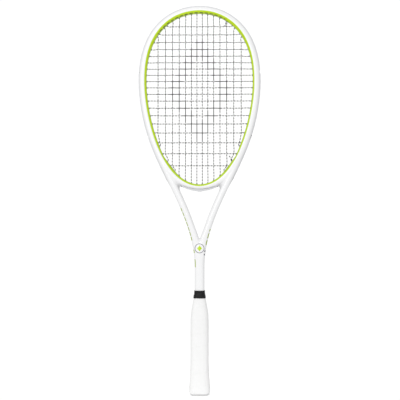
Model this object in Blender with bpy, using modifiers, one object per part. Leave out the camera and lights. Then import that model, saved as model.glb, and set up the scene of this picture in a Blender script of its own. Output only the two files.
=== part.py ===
"""A squash racket, built the way it comes apart on a bench.

A hollow carbon hairpin (head hoop, two arms and shaft) carries a bonded throat bridge.
Six plastic grommet strips line its string holes, and one string is woven through them.
Two foam pallets, a stapled butt cap, a wrapped grip and a finishing tape make the handle.

Metres, +Z from the butt to the head, +X across the head, -Y towards the player's side.
The origin is the middle of the butt's end face.
"""

import math

import bmesh
import bpy
from mathutils import Matrix, Vector

MM = 0.001

# Whole racket and head
LENGTH = 685 * MM
HEAD_HALF_LENGTH = 150.2 * MM
HEAD_HALF_WIDTH = 93.6 * MM      # first harmonic of the head's inner outline
HEAD_EGG = 8.8 * MM              # second harmonic: wide shoulders, narrow throat end
HEAD_SHOULDER = 2.2 * MM         # third harmonic: fuller corners

# Hairpin tube
HOOP_WIDTH_TOP = 12.2 * MM
HOOP_WIDTH_SIDE = 12.8 * MM
HOOP_DEPTH = 18.5 * MM
ARM_WIDTH = 12.2 * MM
SHAFT_WIDTH = 17.2 * MM
SHAFT_DEPTH = 19.5 * MM
SHAFT_TOP_Z = 226 * MM
SHAFT_BOTTOM_Z = 7 * MM
DEEPER_BELOW_Z = 420 * MM        # the tube grows deeper from here down to the shaft
CROTCH_TOP_Z = 305 * MM          # the arms start to widen into the shaft here
CROTCH_BOTTOM_Z = 232 * MM
ARM_LEAVES_HOOP = 2.05           # head angle in radians, 0 at the top
ARM_THIN_RUN = 60 * MM           # the hoop thins to the arm over this length
ARM_UPPER_REACH = 73 * MM
ARM_LOWER_REACH = 78 * MM
TUBE_POWER = 2.8                 # squareness of the rounded tube
WALL = 1.3 * MM
HOOP_STATIONS = 20
ARM_STATIONS = 11
CAVITY_SIDES = 6

# Outer groove and the grommet strips in it
GROOVE_DEPTH = 1.5 * MM
GROOVE_HALF = 4.5 * MM
GROOVE_END_Z = 386 * MM
GROOVE_FADE = 14 * MM
SIDE_STRIP_TOP_Z = 570 * MM      # the bumper ends and the side strips start here
YOKE_STRIP_TOP_Z = 457 * MM
YOKE_STRIP_END_Z = 389 * MM
STRIP_JOINT = 1.2 * MM
STRIP_STATION = 11 * MM
THROAT_STRIP_HALF = 34.2 * MM
THROAT_STRIP_STATIONS = 14
STRIP_PROUD = 1.4 * MM
STRIP_FLOOR = -0.2 * MM          # channel floor, measured outward from the tube's edge
STRIP_BACK = -1.2 * MM
STRIP_HALF = 3.9 * MM
CHANNEL_HALF = 2.2 * MM
CHANNEL_SLOPE = 0.4 * MM         # each wall of the channel leans out by this much
LIP_ROUND = 0.3 * MM
HOLE_RADIUS = 1.9 * MM
BARREL_RADIUS = 1.5 * MM
BORE_RADIUS = 0.95 * MM
TIE_OFF_EXTRA = 0.7 * MM         # a tie-off barrel holds two strings
BARREL_PROUD = 0.8 * MM          # barrel end standing inside the head
DRILL_PAST = 3 * MM              # holes are cut this far past each face
HOLE_PITCH_MIN = 6.2 * MM
MAIN_HOLE_LEAD = 0.055           # radians that a main's lower hole lies beyond the main

# Throat bridge
BRIDGE_WIDTH = 8.6 * MM
BRIDGE_FLARE = 24 * MM           # how much the bridge thickens per square radian
BRIDGE_DEPTH = 17.6 * MM
BRIDGE_REACH = 0.98              # radians each side of the middle
BRIDGE_INSET = 2.4 * MM
BRIDGE_INSET_FROM = 0.72         # share of the reach where the inset starts
BRIDGE_STATIONS = 12
BRIDGE_SIDES = 12
BRIDGE_END_WIDTH = 8 * MM        # the buried end is narrower than the arm that it joins
BRIDGE_END_TAPER = 13.5 * MM     # per radian
THROAT_PINCH = 0.92              # throat holes lean inward towards the bottom

# String and stringing pattern, counted from the middle and from the top
STRING_RADIUS = 0.6 * MM
WEAVE = 1.35 * MM
LANE = 1.3 * MM                  # strings lie side by side in the channel
PAIR = 0.68 * MM                 # and side by side in a tie-off barrel
KNOT_SLACK = 0.12 * MM
MAIN_END_CLEAR = 2 * MM
LOW_TAIL = Vector((-4.6 * MM, 0.6 * MM, 6.0 * MM))
TOP_TAIL = Vector((-4.4 * MM, 0.6 * MM, -4.6 * MM))
CHANNEL_LIFT = 0.75 * MM         # string centre above the channel floor
OUTSIDE_STEP = 9 * MM            # longest straight piece of string round the hoop
MOUTH_PAST = 0.7 * MM            # a string straightens this far past a barrel
KNOT_TURNS = 1.5
KNOT_STEPS = 9
MAINS_A_SIDE = 7
THROAT_MAINS = 4                 # mains a side that end under the bridge
MAIN_FIRST = 4.75 * MM
MAIN_PITCH = 9.7 * MM
MAIN_PITCH_GROWTH = 0.69 * MM
CROSSES = 19
CROSS_TOP_Z = 648.7 * MM
CROSS_PITCH = 11.0 * MM
CROSS_TIGHTEST = 6
CROSS_SPREAD_TOP = 3.4 * MM
CROSS_SPREAD_BOTTOM = 10.3 * MM
CROSS_SPREAD_POWER = 2.4

# Handle
GAP = 0.3 * MM
GRIP_HALF_X = 16.2 * MM
GRIP_HALF_Y = 14.2 * MM
GRIP_THICKNESS = 1.9 * MM
HANDLE_POWER = 3.2
HANDLE_SIDES = 12
GRIP_PROFILE = ((3.9, 18.7), (8, 19.2), (15, 19.0), (22, 18.3), (32, 17.4), (46, 16.6),
                (62, 16.2), (126, 16.2), (138, 15.8), (148, 14.8), (157, 13.3), (165, 11.6),
                (169.8, 10.5))   # height and half width in mm, from the butt's flare up
CAP_SKIRT = 1.5 * MM
CAP_SKIRT_HALF = 17.0 * MM       # at the rim, narrowing to the next value at the skirt's top
CAP_SKIRT_TOP_HALF = 14.9 * MM
CAP_RIM_TOP_Z = 3.9 * MM
CAP_RIM = ((0, 15.4), (0.7, 17.4), (2.0, 18.5), (3.6, 18.6))   # height and half width in mm
CAP_LEVELS = (3.9, 8, 14, 21, 29, 40)                          # heights in mm
CAP_TOP_Z = 40 * MM
CAP_FLOOR = 2.6 * MM             # thickness of the cup's closed end
PALLET_BOTTOM_Z = 5.5 * MM
CORE_SHOULDER_Z = 45 * MM        # the pallets are full size above here
PALLET_TOP_Z = 160 * MM
TAPE_BOTTOM_Z = 170.6 * MM
TAPE_TOP_Z = 184.2 * MM
TAPE_THICKNESS = 0.65 * MM
TAPE_BULGE = 0.85 * MM           # the tape is fatter over the grip's thin end
TAPE_BULGE_RUN = 4 * MM
STAPLE_HEIGHTS = (14 * MM, 28 * MM)
STAPLE_HALF_SPAN = 4.5 * MM
STAPLE_LEG = 5.0 * MM
STAPLE_WIRE = 0.8 * MM

ROUND_SIDES = 6


# ---------------------------------------------------------------- scene helpers

def clear_scene():
    for item in list(bpy.data.objects):
        bpy.data.objects.remove(item, do_unlink=True)


def make_collection(name):
    collection = bpy.data.collections.new(name)
    bpy.context.scene.collection.children.link(collection)
    return collection


def make_material(name, colour, roughness, metallic=0.0):
    material = bpy.data.materials.new(name)
    material.use_nodes = True
    shader = material.node_tree.nodes["Principled BSDF"]
    shader.inputs["Base Color"].default_value = (*colour, 1.0)
    shader.inputs["Roughness"].default_value = roughness
    shader.inputs["Metallic"].default_value = metallic
    return material


def add_object(name, mesh, collection, material=None):
    item = bpy.data.objects.new(name, mesh)
    collection.objects.link(item)
    if material:
        mesh.materials.append(material)
    else:
        item.hide_render = True
        item.display_type = "WIRE"
    return item


def loft_mesh(name, rings):
    """Closed mesh through rings of equal point count, with both ends capped."""
    shape = bmesh.new()
    loops = [[shape.verts.new(point) for point in ring] for ring in rings]
    count = len(loops[0])
    for low, high in zip(loops, loops[1:]):
        for index in range(count):
            after = (index + 1) % count
            shape.faces.new((low[index], low[after], high[after], high[index]))
    shape.faces.new(loops[0])
    shape.faces.new(loops[-1])
    bmesh.ops.recalc_face_normals(shape, faces=shape.faces)
    mesh = bpy.data.meshes.new(name)
    shape.to_mesh(mesh)
    shape.free()
    mesh.shade_smooth()
    mesh.set_sharp_from_angle(angle=math.radians(35))
    return mesh


def rods_mesh(name, rods):
    """Many separate six-sided rods in one mesh, each (start, end, radius)."""
    shape = bmesh.new()
    for start, end, radius in rods:
        run = end - start
        turn = run.to_track_quat("Z", "Y").to_matrix().to_4x4()
        place = Matrix.Translation((start + end) / 2) @ turn
        bmesh.ops.create_cone(
            shape, cap_ends=True, segments=ROUND_SIDES,
            radius1=radius, radius2=radius, depth=run.length, matrix=place)
    mesh = bpy.data.meshes.new(name)
    shape.to_mesh(mesh)
    shape.free()
    return mesh


def boxes_mesh(name, boxes):
    """Boxes given as (low corner, high corner), in one mesh."""
    shape = bmesh.new()
    for low, high in boxes:
        size = high - low
        place = Matrix.Translation((low + high) / 2) @ Matrix.Diagonal((*size, 1.0))
        bmesh.ops.create_cube(shape, size=1.0, matrix=place)
    mesh = bpy.data.meshes.new(name)
    shape.to_mesh(mesh)
    shape.free()
    return mesh


def boolean(item, operation, cutter):
    modifier = item.modifiers.new(operation.lower(), "BOOLEAN")
    modifier.operation = operation
    modifier.solver = "EXACT"
    modifier.object = cutter


def mirror_across_x(item):
    modifier = item.modifiers.new("mirror", "MIRROR")
    modifier.use_axis = (True, False, False)
    modifier.use_bisect_axis = (True, False, False)
    modifier.bisect_threshold = 0.00001
    modifier.merge_threshold = 0.00005


def tube_object(name, points, radius, collection, material):
    """A wire of even thickness through the points, with filled ends."""
    curve = bpy.data.curves.new(name, "CURVE")
    curve.dimensions = "3D"
    curve.bevel_depth = radius
    curve.bevel_resolution = 0
    curve.use_fill_caps = True
    spline = curve.splines.new("POLY")
    spline.points.add(len(points) - 1)
    for slot, point in zip(spline.points, points):
        slot.co = (*point, 1.0)
    item = bpy.data.objects.new(name, curve)
    collection.objects.link(item)
    curve.materials.append(material)
    return item


def smooth_step(low, high, value):
    share = min(max((value - low) / (high - low), 0.0), 1.0)
    return share * share * (3 - 2 * share)


# ---------------------------------------------------------------- outlines

HEAD_CENTRE_Z = LENGTH - STRIP_PROUD - HOOP_WIDTH_TOP - HEAD_HALF_LENGTH


def head_inside(angle):
    """Point (x, z) of the head's inner outline; angle 0 is the top, pi the bridge."""
    x = (HEAD_HALF_WIDTH * math.sin(angle) + HEAD_EGG * math.sin(2 * angle)
         + HEAD_SHOULDER * math.sin(3 * angle))
    return Vector((x, HEAD_CENTRE_Z + HEAD_HALF_LENGTH * math.cos(angle)))


def head_outward(angle):
    slope_x = (HEAD_HALF_WIDTH * math.cos(angle) + 2 * HEAD_EGG * math.cos(2 * angle)
               + 3 * HEAD_SHOULDER * math.cos(3 * angle))
    slope_z = -HEAD_HALF_LENGTH * math.sin(angle)
    return Vector((-slope_z, slope_x)).normalized()


def hoop_width(angle):
    return HOOP_WIDTH_TOP + (HOOP_WIDTH_SIDE - HOOP_WIDTH_TOP) * math.sin(angle)


def arm_edge_controls():
    """Control points of the arm's outer edge, from the hoop down to the shaft."""
    start = (head_inside(ARM_LEAVES_HOOP)
             + head_outward(ARM_LEAVES_HOOP) * hoop_width(ARM_LEAVES_HOOP))
    outward = head_outward(ARM_LEAVES_HOOP)
    down = Vector((outward.y, -outward.x))
    end = Vector((SHAFT_WIDTH / 2, SHAFT_TOP_Z))
    return (start, start + down * ARM_UPPER_REACH,
            end + Vector((0, ARM_LOWER_REACH)), end)


def bezier(controls, share):
    first, second, third, fourth = controls
    rest = 1 - share
    return (first * rest ** 3 + second * 3 * rest ** 2 * share
            + third * 3 * rest * share ** 2 + fourth * share ** 3)


def outer_edge():
    """Fine samples of the hairpin's outer edge: (length from the top, point, outward)."""
    hoop_steps = 160
    arm_steps = 120
    points = []
    for step in range(hoop_steps):
        angle = ARM_LEAVES_HOOP * step / hoop_steps
        points.append(head_inside(angle) + head_outward(angle) * hoop_width(angle))
    controls = arm_edge_controls()
    for step in range(arm_steps + 1):
        points.append(bezier(controls, step / arm_steps))
    points.append(Vector((SHAFT_WIDTH / 2, SHAFT_BOTTOM_Z)))
    samples = []
    length = 0.0
    for index, point in enumerate(points):
        before = points[max(index - 1, 0)]
        after = points[min(index + 1, len(points) - 1)]
        along = after - before
        outward = Vector((-along.y, along.x)).normalized()
        if index == 0:
            outward = Vector((0, 1))
        length += (point - before).length
        samples.append((length, point, outward))
    return samples


EDGE = outer_edge()
EDGE_LENGTH = EDGE[-1][0]


def edge_at(length):
    """Point and outward direction at a length from the head's top; negative is the -X side."""
    side = -1 if length < 0 else 1
    wanted = min(abs(length), EDGE_LENGTH)
    for (start, point_a, out_a), (end, point_b, out_b) in zip(EDGE, EDGE[1:]):
        if end >= wanted:
            share = (wanted - start) / (end - start)
            point = point_a.lerp(point_b, share)
            outward = out_a.lerp(out_b, share).normalized()
            return Vector((side * point.x, point.y)), Vector((side * outward.x, outward.y))
    return EDGE[-1][1], EDGE[-1][2]


def length_where_edge_is_at_z(height):
    """Length along the edge, on its way down from the head's widest point, at a height."""
    for length, point, _ in EDGE:
        if point.y <= height:
            return length
    return EDGE_LENGTH


ARM_START = length_where_edge_is_at_z(arm_edge_controls()[0].y)
GROOVE_END = length_where_edge_is_at_z(GROOVE_END_Z)


def tube_width(length, height):
    """Width of the tube in the plane of the head."""
    if abs(length) <= ARM_START:
        top_share = abs(length) / ARM_START
        return HOOP_WIDTH_TOP + (HOOP_WIDTH_SIDE - HOOP_WIDTH_TOP) * math.sin(
            top_share * ARM_LEAVES_HOOP)
    hoop_end = hoop_width(ARM_LEAVES_HOOP)
    thin = smooth_step(ARM_START, ARM_START + ARM_THIN_RUN, length)
    arm = hoop_end + (ARM_WIDTH - hoop_end) * thin
    merge = 1 - smooth_step(CROTCH_BOTTOM_Z, CROTCH_TOP_Z, height)
    return arm + (SHAFT_WIDTH - arm) * merge


def tube_depth(height):
    deepen = 1 - smooth_step(SHAFT_TOP_Z, DEEPER_BELOW_Z, height)
    return HOOP_DEPTH + (SHAFT_DEPTH - HOOP_DEPTH) * deepen


def super_point(half_u, half_v, power, angle):
    across = math.cos(angle)
    along = math.sin(angle)
    u = math.copysign(abs(across) ** (2 / power), across) * half_u
    v = math.copysign(abs(along) ** (2 / power), along) * half_v
    return u, v


def tube_section(width, depth, groove, count=10):
    """Rounded tube outline (outward, across) with a flat-bottomed groove on its outer side."""
    half_u = width / 2
    half_v = depth / 2
    start = math.asin((GROOVE_HALF / half_v) ** (TUBE_POWER / 2))
    outline = [(half_u - groove, -GROOVE_HALF + GAP), (half_u - groove, GROOVE_HALF - GAP)]
    for index in range(count):
        angle = start + (2 * math.pi - 2 * start) * index / (count - 1)
        outline.append(super_point(half_u, half_v, TUBE_POWER, angle))
    return outline


def place_section(outline, centre, outward):
    """Turn (outward, across) pairs into points; across is +Y."""
    return [Vector((centre.x + outward.x * u, v, centre.y + outward.y * u))
            for u, v in outline]


# ---------------------------------------------------------------- string holes

def main_positions():
    """Distances of the mains from the middle, innermost first."""
    position = MAIN_FIRST
    positions = [position]
    for index in range(MAINS_A_SIDE - 1):
        position += MAIN_PITCH + MAIN_PITCH_GROWTH * index
        positions.append(position)
    return positions


def cross_heights():
    """Heights of the crosses, top first; the spacing is tightest above the head's middle."""
    height = CROSS_TOP_Z
    heights = [height]
    for index in range(CROSSES - 1):
        if index < CROSS_TIGHTEST:
            spread = CROSS_SPREAD_TOP * ((CROSS_TIGHTEST - index) / CROSS_TIGHTEST) ** 2
        else:
            share = (index - CROSS_TIGHTEST) / (CROSSES - 2 - CROSS_TIGHTEST)
            spread = CROSS_SPREAD_BOTTOM * share ** CROSS_SPREAD_POWER
        height -= CROSS_PITCH + spread
        heights.append(height)
    return heights


MAIN_X = main_positions()
CROSS_Z = cross_heights()


def solve_angle(low, high, test):
    """Angle between low and high where test changes sign."""
    low_sign = test(low) > 0
    for _ in range(40):
        middle = (low + high) / 2
        if (test(middle) > 0) == low_sign:
            low = middle
        else:
            high = middle
    return (low + high) / 2


def widest_angle():
    return solve_angle(1.0, 2.0, lambda angle: head_outward(angle).y)


def hole_angles():
    """Head angle of each string hole on one side, by name, kept a least distance apart."""
    widest = widest_angle()
    angles = []
    for index, x in enumerate(MAIN_X, 1):
        top = solve_angle(0, widest, lambda angle: head_inside(angle).x - x)
        bottom = solve_angle(widest, math.pi, lambda angle: head_inside(angle).x - x)
        lead = MAIN_HOLE_LEAD if index > THROAT_MAINS else 0.0
        angles.append([top, f"top_{index}"])
        angles.append([bottom + lead, f"bottom_{index}"])
    for index, z in enumerate(CROSS_Z, 1):
        angle = solve_angle(0, math.pi, lambda angle: head_inside(angle).y - z)
        angles.append([angle, f"cross_{index}"])
    angles.sort()
    for _ in range(60):
        for first, second in zip(angles, angles[1:]):
            distance = (head_inside(first[0]) - head_inside(second[0])).length
            if distance < HOLE_PITCH_MIN:
                push = (HOLE_PITCH_MIN - distance) / distance * (second[0] - first[0]) / 2
                first[0] -= push
                second[0] += push
    return {name: angle for angle, name in angles}


def edge_crossing(start, direction):
    """Where a ray from inside the head leaves the hairpin: (length along the edge, point)."""
    for (length_a, point_a, _), (length_b, point_b, _) in zip(EDGE, EDGE[1:]):
        side_a = (point_a - start).cross(direction)
        side_b = (point_b - start).cross(direction)
        if side_a * side_b <= 0 and (point_a - start).dot(direction) > 0:
            share = side_a / (side_a - side_b)
            return length_a + (length_b - length_a) * share, point_a.lerp(point_b, share)
    raise ValueError("the ray misses the frame")


def bridge_low(angle):
    """Point of the bridge's lower outline, facing the throat."""
    width = BRIDGE_WIDTH + BRIDGE_FLARE * (math.pi - angle) ** 2
    return head_inside(angle) + head_outward(angle) * width


def bridge_under(x):
    """Point of the bridge's lower outline at a distance from the middle, and its downward normal."""
    angle = solve_angle(math.pi - 0.6, math.pi, lambda value: bridge_low(value).x - abs(x))
    along = bridge_low(angle - 0.01) - bridge_low(angle + 0.01)
    down = Vector((along.y, -along.x)).normalized()
    point = bridge_low(angle)
    if x < 0:
        return Vector((-point.x, point.y)), Vector((-down.x, down.y))
    return point, down


THROAT_HOLES = [f"bottom_{index}" for index in range(1, THROAT_MAINS + 1)]
TIE_OFFS = (("bottom_6", 1), ("top_5", 1))


def string_holes():
    """Every hole on the +X side: inner point, outer point and length along the edge."""
    holes = {}
    for name, angle in hole_angles().items():
        inner = head_inside(angle)
        if name in THROAT_HOLES:
            outer, _ = bridge_under(inner.x * THROAT_PINCH)
            holes[name] = (inner, outer, None)
        else:
            length, outer = edge_crossing(inner, head_outward(angle))
            holes[name] = (inner, outer, length)
    return holes


HOLES = string_holes()


def hole_ends(name, side):
    """Inner and outer point of a hole in space, and its direction outward."""
    inner, outer, _ = HOLES[name]
    start = Vector((side * inner.x, 0, inner.y))
    end = Vector((side * outer.x, 0, outer.y))
    return start, end, (end - start).normalized()


def hole_rods(names, sides, radius, inside, outside):
    """Rods along the named holes, run past the inner and outer ends by the given lengths."""
    rods = []
    for side in sides:
        for name in names:
            start, end, along = hole_ends(name, side)
            extra = TIE_OFF_EXTRA if (name, side) in TIE_OFFS else 0.0
            rods.append((start - along * inside, end + along * outside, radius + extra))
    return rods


# ---------------------------------------------------------------- frame and bridge

def hairpin_rings(grow=0.0, wall=0.0):
    """Rings down the +X half of the hairpin, from just past the head's top to the shaft's end."""
    arm_length = EDGE_LENGTH - ARM_START - (SHAFT_TOP_Z - SHAFT_BOTTOM_Z)
    lengths = [ARM_START * index / HOOP_STATIONS for index in range(-1, HOOP_STATIONS)]
    lengths += [ARM_START + arm_length * index / ARM_STATIONS for index in range(ARM_STATIONS + 1)]
    lengths.append(EDGE_LENGTH)
    rings = []
    for length in lengths:
        point, outward = edge_at(length)
        width = tube_width(length, point.y)
        depth = tube_depth(point.y)
        centre = point - outward * width / 2
        fade = 1 - smooth_step(GROOVE_END, GROOVE_END + GROOVE_FADE, length)
        if wall:
            floor = (GROOVE_DEPTH + GAP) * fade
            centre = centre - outward * floor / 2
            outline = [super_point((width - floor) / 2 - wall, depth / 2 - wall, TUBE_POWER,
                                   2 * math.pi * (index + 0.5) / CAVITY_SIDES)
                       for index in range(CAVITY_SIDES)]
        else:
            outline = tube_section(width + 2 * grow, depth + 2 * grow, GROOVE_DEPTH * fade)
        rings.append(place_section(outline, centre, outward))
    return rings


def extend_last_ring(rings, distance):
    rings.append([point - Vector((0, 0, distance)) for point in rings[-1]])
    return rings


def build_frame(parts, cutters, material):
    frame = add_object("frame", loft_mesh("frame", hairpin_rings()), parts, material)
    mirror_across_x(frame)
    hollow_rings = extend_last_ring(hairpin_rings(wall=WALL), 10 * MM)
    hollow = add_object("frame_hollow", loft_mesh("frame_hollow", hollow_rings), cutters)
    mirror_across_x(hollow)
    boolean(frame, "DIFFERENCE", hollow)
    names = [name for name in HOLES if name not in THROAT_HOLES]
    rods = hole_rods(names, (1, -1), HOLE_RADIUS, DRILL_PAST, DRILL_PAST)
    boolean(frame, "DIFFERENCE", add_object("frame_holes", rods_mesh("frame_holes", rods), cutters))
    return frame


def bridge_rings():
    """Rings along the +X half of the bridge, from inside the arm to just past the middle."""
    rings = []
    for index in range(BRIDGE_STATIONS + 2):
        angle = math.pi - BRIDGE_REACH * (1 - index / BRIDGE_STATIONS)
        away = math.pi - angle
        inset = BRIDGE_INSET * smooth_step(BRIDGE_REACH * BRIDGE_INSET_FROM, BRIDGE_REACH, away)
        outward = head_outward(angle)
        full = (bridge_low(angle) - head_inside(angle)).length
        width = min(full, BRIDGE_END_WIDTH + BRIDGE_END_TAPER * (BRIDGE_REACH - away)) - inset
        centre = head_inside(angle) + outward * (inset + width / 2)
        outline = [super_point(width / 2, BRIDGE_DEPTH / 2, TUBE_POWER,
                               2 * math.pi * (step + 0.5) / BRIDGE_SIDES)
                   for step in range(BRIDGE_SIDES)]
        rings.append(place_section(outline, centre, outward))
    return rings


def build_bridge(parts, cutters, material):
    bridge = add_object("throat_bridge", loft_mesh("throat_bridge", bridge_rings()), parts, material)
    mirror_across_x(bridge)
    seat = add_object("bridge_seat", loft_mesh("bridge_seat", hairpin_rings(grow=GAP)), cutters)
    mirror_across_x(seat)
    boolean(bridge, "DIFFERENCE", seat)
    names = list(THROAT_HOLES) + ["bottom_5", "bottom_6", "cross_18", "cross_19"]
    rods = hole_rods(names, (1, -1), HOLE_RADIUS, DRILL_PAST, DRILL_PAST)
    boolean(bridge, "DIFFERENCE",
            add_object("bridge_holes", rods_mesh("bridge_holes", rods), cutters))
    return bridge


# ---------------------------------------------------------------- grommet strips

def strip_section():
    """U-shaped band: outward from the tube's edge, and across."""
    lip = STRIP_HALF - LIP_ROUND
    brow = CHANNEL_HALF + CHANNEL_SLOPE
    return [(STRIP_BACK, -STRIP_HALF), (STRIP_BACK, STRIP_HALF), (STRIP_PROUD * 0.6, STRIP_HALF),
            (STRIP_PROUD, lip), (STRIP_PROUD, brow),
            (STRIP_FLOOR, CHANNEL_HALF), (STRIP_FLOOR, -CHANNEL_HALF),
            (STRIP_PROUD, -brow), (STRIP_PROUD, -lip),
            (STRIP_PROUD * 0.6, -STRIP_HALF)]


def build_strip(name, start, end, holes, parts, cutters, material):
    """A band along the outer edge between two lengths, with a barrel for each hole.

    holes lists (hole name, side).
    """
    count = max(2, round(abs(end - start) / STRIP_STATION))
    rings = []
    for index in range(count + 1):
        point, outward = edge_at(start + (end - start) * index / count)
        rings.append(place_section(strip_section(), point, outward))
    strip = add_object(name, loft_mesh(name, rings), parts, material)
    finish_strip(strip, holes, (STRIP_BACK + STRIP_FLOOR) / 2, cutters)
    return strip


def finish_strip(strip, holes, root, cutters):
    """Join the barrels to a band and drill them through; root is where a barrel ends in the band."""
    barrels = []
    bores = []
    for name, side in holes:
        barrels += hole_rods([name], [side], BARREL_RADIUS, BARREL_PROUD, root)
        bores += hole_rods([name], [side], BORE_RADIUS, DRILL_PAST, DRILL_PAST + STRIP_PROUD)
    label = strip.name
    boolean(strip, "UNION", add_object(label + "_barrels", rods_mesh(label + "_barrels", barrels),
                                       cutters))
    boolean(strip, "DIFFERENCE", add_object(label + "_bores", rods_mesh(label + "_bores", bores),
                                            cutters))


def build_throat_strip(parts, cutters, material):
    """The band under the bridge and its eight barrels."""
    rings = []
    for index in range(THROAT_STRIP_STATIONS + 1):
        point, down = bridge_under(THROAT_STRIP_HALF * (2 * index / THROAT_STRIP_STATIONS - 1))
        outline = [(u - STRIP_BACK + GAP, v) for u, v in strip_section()]
        rings.append(place_section(outline, point, down))
    strip = add_object("throat_strip", loft_mesh("throat_strip", rings), parts, material)
    holes = [(name, side) for side in (1, -1) for name in THROAT_HOLES]
    finish_strip(strip, holes, GAP + (STRIP_FLOOR - STRIP_BACK) / 2, cutters)
    return strip


def build_strips(parts, cutters, material):
    bumper_end = length_where_edge_is_at_z(SIDE_STRIP_TOP_Z)
    side_end = length_where_edge_is_at_z(YOKE_STRIP_TOP_Z)
    yoke_end = length_where_edge_is_at_z(YOKE_STRIP_END_Z)
    by_length = {name: hole[2] for name, hole in HOLES.items() if hole[2] is not None}
    bumper_holes = [(name, side) for side in (1, -1)
                    for name, length in by_length.items() if length < bumper_end]
    build_strip("bumper_strip", -bumper_end, bumper_end, bumper_holes, parts, cutters, material)
    for side, word in ((1, "right"), (-1, "left")):
        for label, low, high in (("side_strip", bumper_end, side_end),
                                 ("yoke_strip", side_end, yoke_end)):
            holes = [(name, side) for name, length in by_length.items() if low < length < high]
            build_strip(f"{label}_{word}", side * (low + STRIP_JOINT), side * high,
                        holes, parts, cutters, material)
    build_throat_strip(parts, cutters, material)


# ---------------------------------------------------------------- string

def channel_point(length, side, lane):
    point, outward = edge_at(length)
    place = point + outward * CHANNEL_LIFT
    return Vector((side * place.x, lane, place.y))


def outside_run(start, end, side, lane):
    """Points of the string in the outer channel between two holes, ends left out."""
    length_a = HOLES[start][2]
    length_b = HOLES[end][2]
    clear = math.copysign(MAIN_END_CLEAR, length_b - length_a)
    count = max(1, math.ceil(abs(length_b - length_a) / OUTSIDE_STEP))
    first = length_a + clear
    last = length_b - clear
    return [channel_point(first + (last - first) * index / count, side, lane)
            for index in range(count + 1)]


def throat_run(start, end, side):
    """Points of the string under the bridge between two throat holes."""
    _, first, _ = hole_ends(start, side)
    _, last, _ = hole_ends(end, side)
    points = []
    for share in (0.2, 0.5, 0.8):
        point, down = bridge_under(first.x + (last.x - first.x) * share)
        place = point + down * (CHANNEL_LIFT - STRIP_BACK + GAP)
        points.append(Vector((place.x, 0, place.y)))
    return points


def through_hole(name, side, inward, shift=0.0):
    """Outer and inner string points of a hole, in the order the string takes them."""
    start, end, along = hole_ends(name, side)
    lift = CHANNEL_LIFT - STRIP_BACK + GAP if name in THROAT_HOLES else CHANNEL_LIFT
    inner = start - along * (BARREL_PROUD + MOUTH_PAST)
    outer = end + along * lift
    inner.y = shift
    outer.y = shift
    return [outer, inner] if inward else [inner, outer]


def knot(name):
    """Coils of a tie-off round the main beside its hole, from the hole inward."""
    mouth = through_hole(name, 1, True, -PAIR)[1]
    crossing = main_end(name, 1)
    axis = (crossing - mouth).normalized()
    across = axis.cross(Vector((0, 1, 0)))
    radius = 2 * STRING_RADIUS + KNOT_SLACK
    points = []
    for index in range(KNOT_STEPS + 1):
        share = index / KNOT_STEPS
        angle = 2 * math.pi * KNOT_TURNS * share
        centre = mouth.lerp(crossing, 0.3 + 0.4 * share)
        points.append(centre + Vector((0, radius, 0)) * math.cos(angle)
                      - across * radius * math.sin(angle))
    return points


def inside_half(height):
    """Half width of the head's inside at a height."""
    angle = solve_angle(0, math.pi, lambda value: head_inside(value).y - height)
    return head_inside(angle).x


def main_end(name, side):
    """The crossing nearest a main's hole, where the main leaves its straight run."""
    place, index = name.split("_")
    x = MAIN_X[int(index) - 1]
    mouth = HOLES[name][0].y
    inside = [z for z in CROSS_Z if inside_half(z) > x + MAIN_END_CLEAR]
    if place == "top":
        height = max(z for z in inside if z < mouth - MAIN_END_CLEAR)
    else:
        height = min(z for z in inside if z > mouth + MAIN_END_CLEAR)
    return Vector((side * x, 0, height))


def main_x_at(index, height):
    """Distance of a main from the middle at a height, or None beyond its holes."""
    for name in (f"top_{index}", f"bottom_{index}"):
        end = main_end(name, 1)
        mouth = through_hole(name, 1, True)[1]
        share = (height - end.z) / (mouth.z - end.z)
        if share > 1:
            return None
        if share > 0:
            return end.x + (mouth.x - end.x) * share
    return MAIN_X[index - 1]


def cross_weave(index, side):
    """Crossing points of one cross, walking from the given side to the other."""
    height = CROSS_Z[index - 1]
    reach = through_hole(f"cross_{index}", 1, True)[1].x - STRING_RADIUS
    points = []
    for main in range(1, MAINS_A_SIDE + 1):
        x = main_x_at(main, height)
        if x is not None and x < reach:
            over = WEAVE if (main + index) % 2 else -WEAVE
            points.append(Vector((x, over, height)))
            points.insert(0, Vector((-x, -over, height)))
    return points if side < 0 else list(reversed(points))


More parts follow.
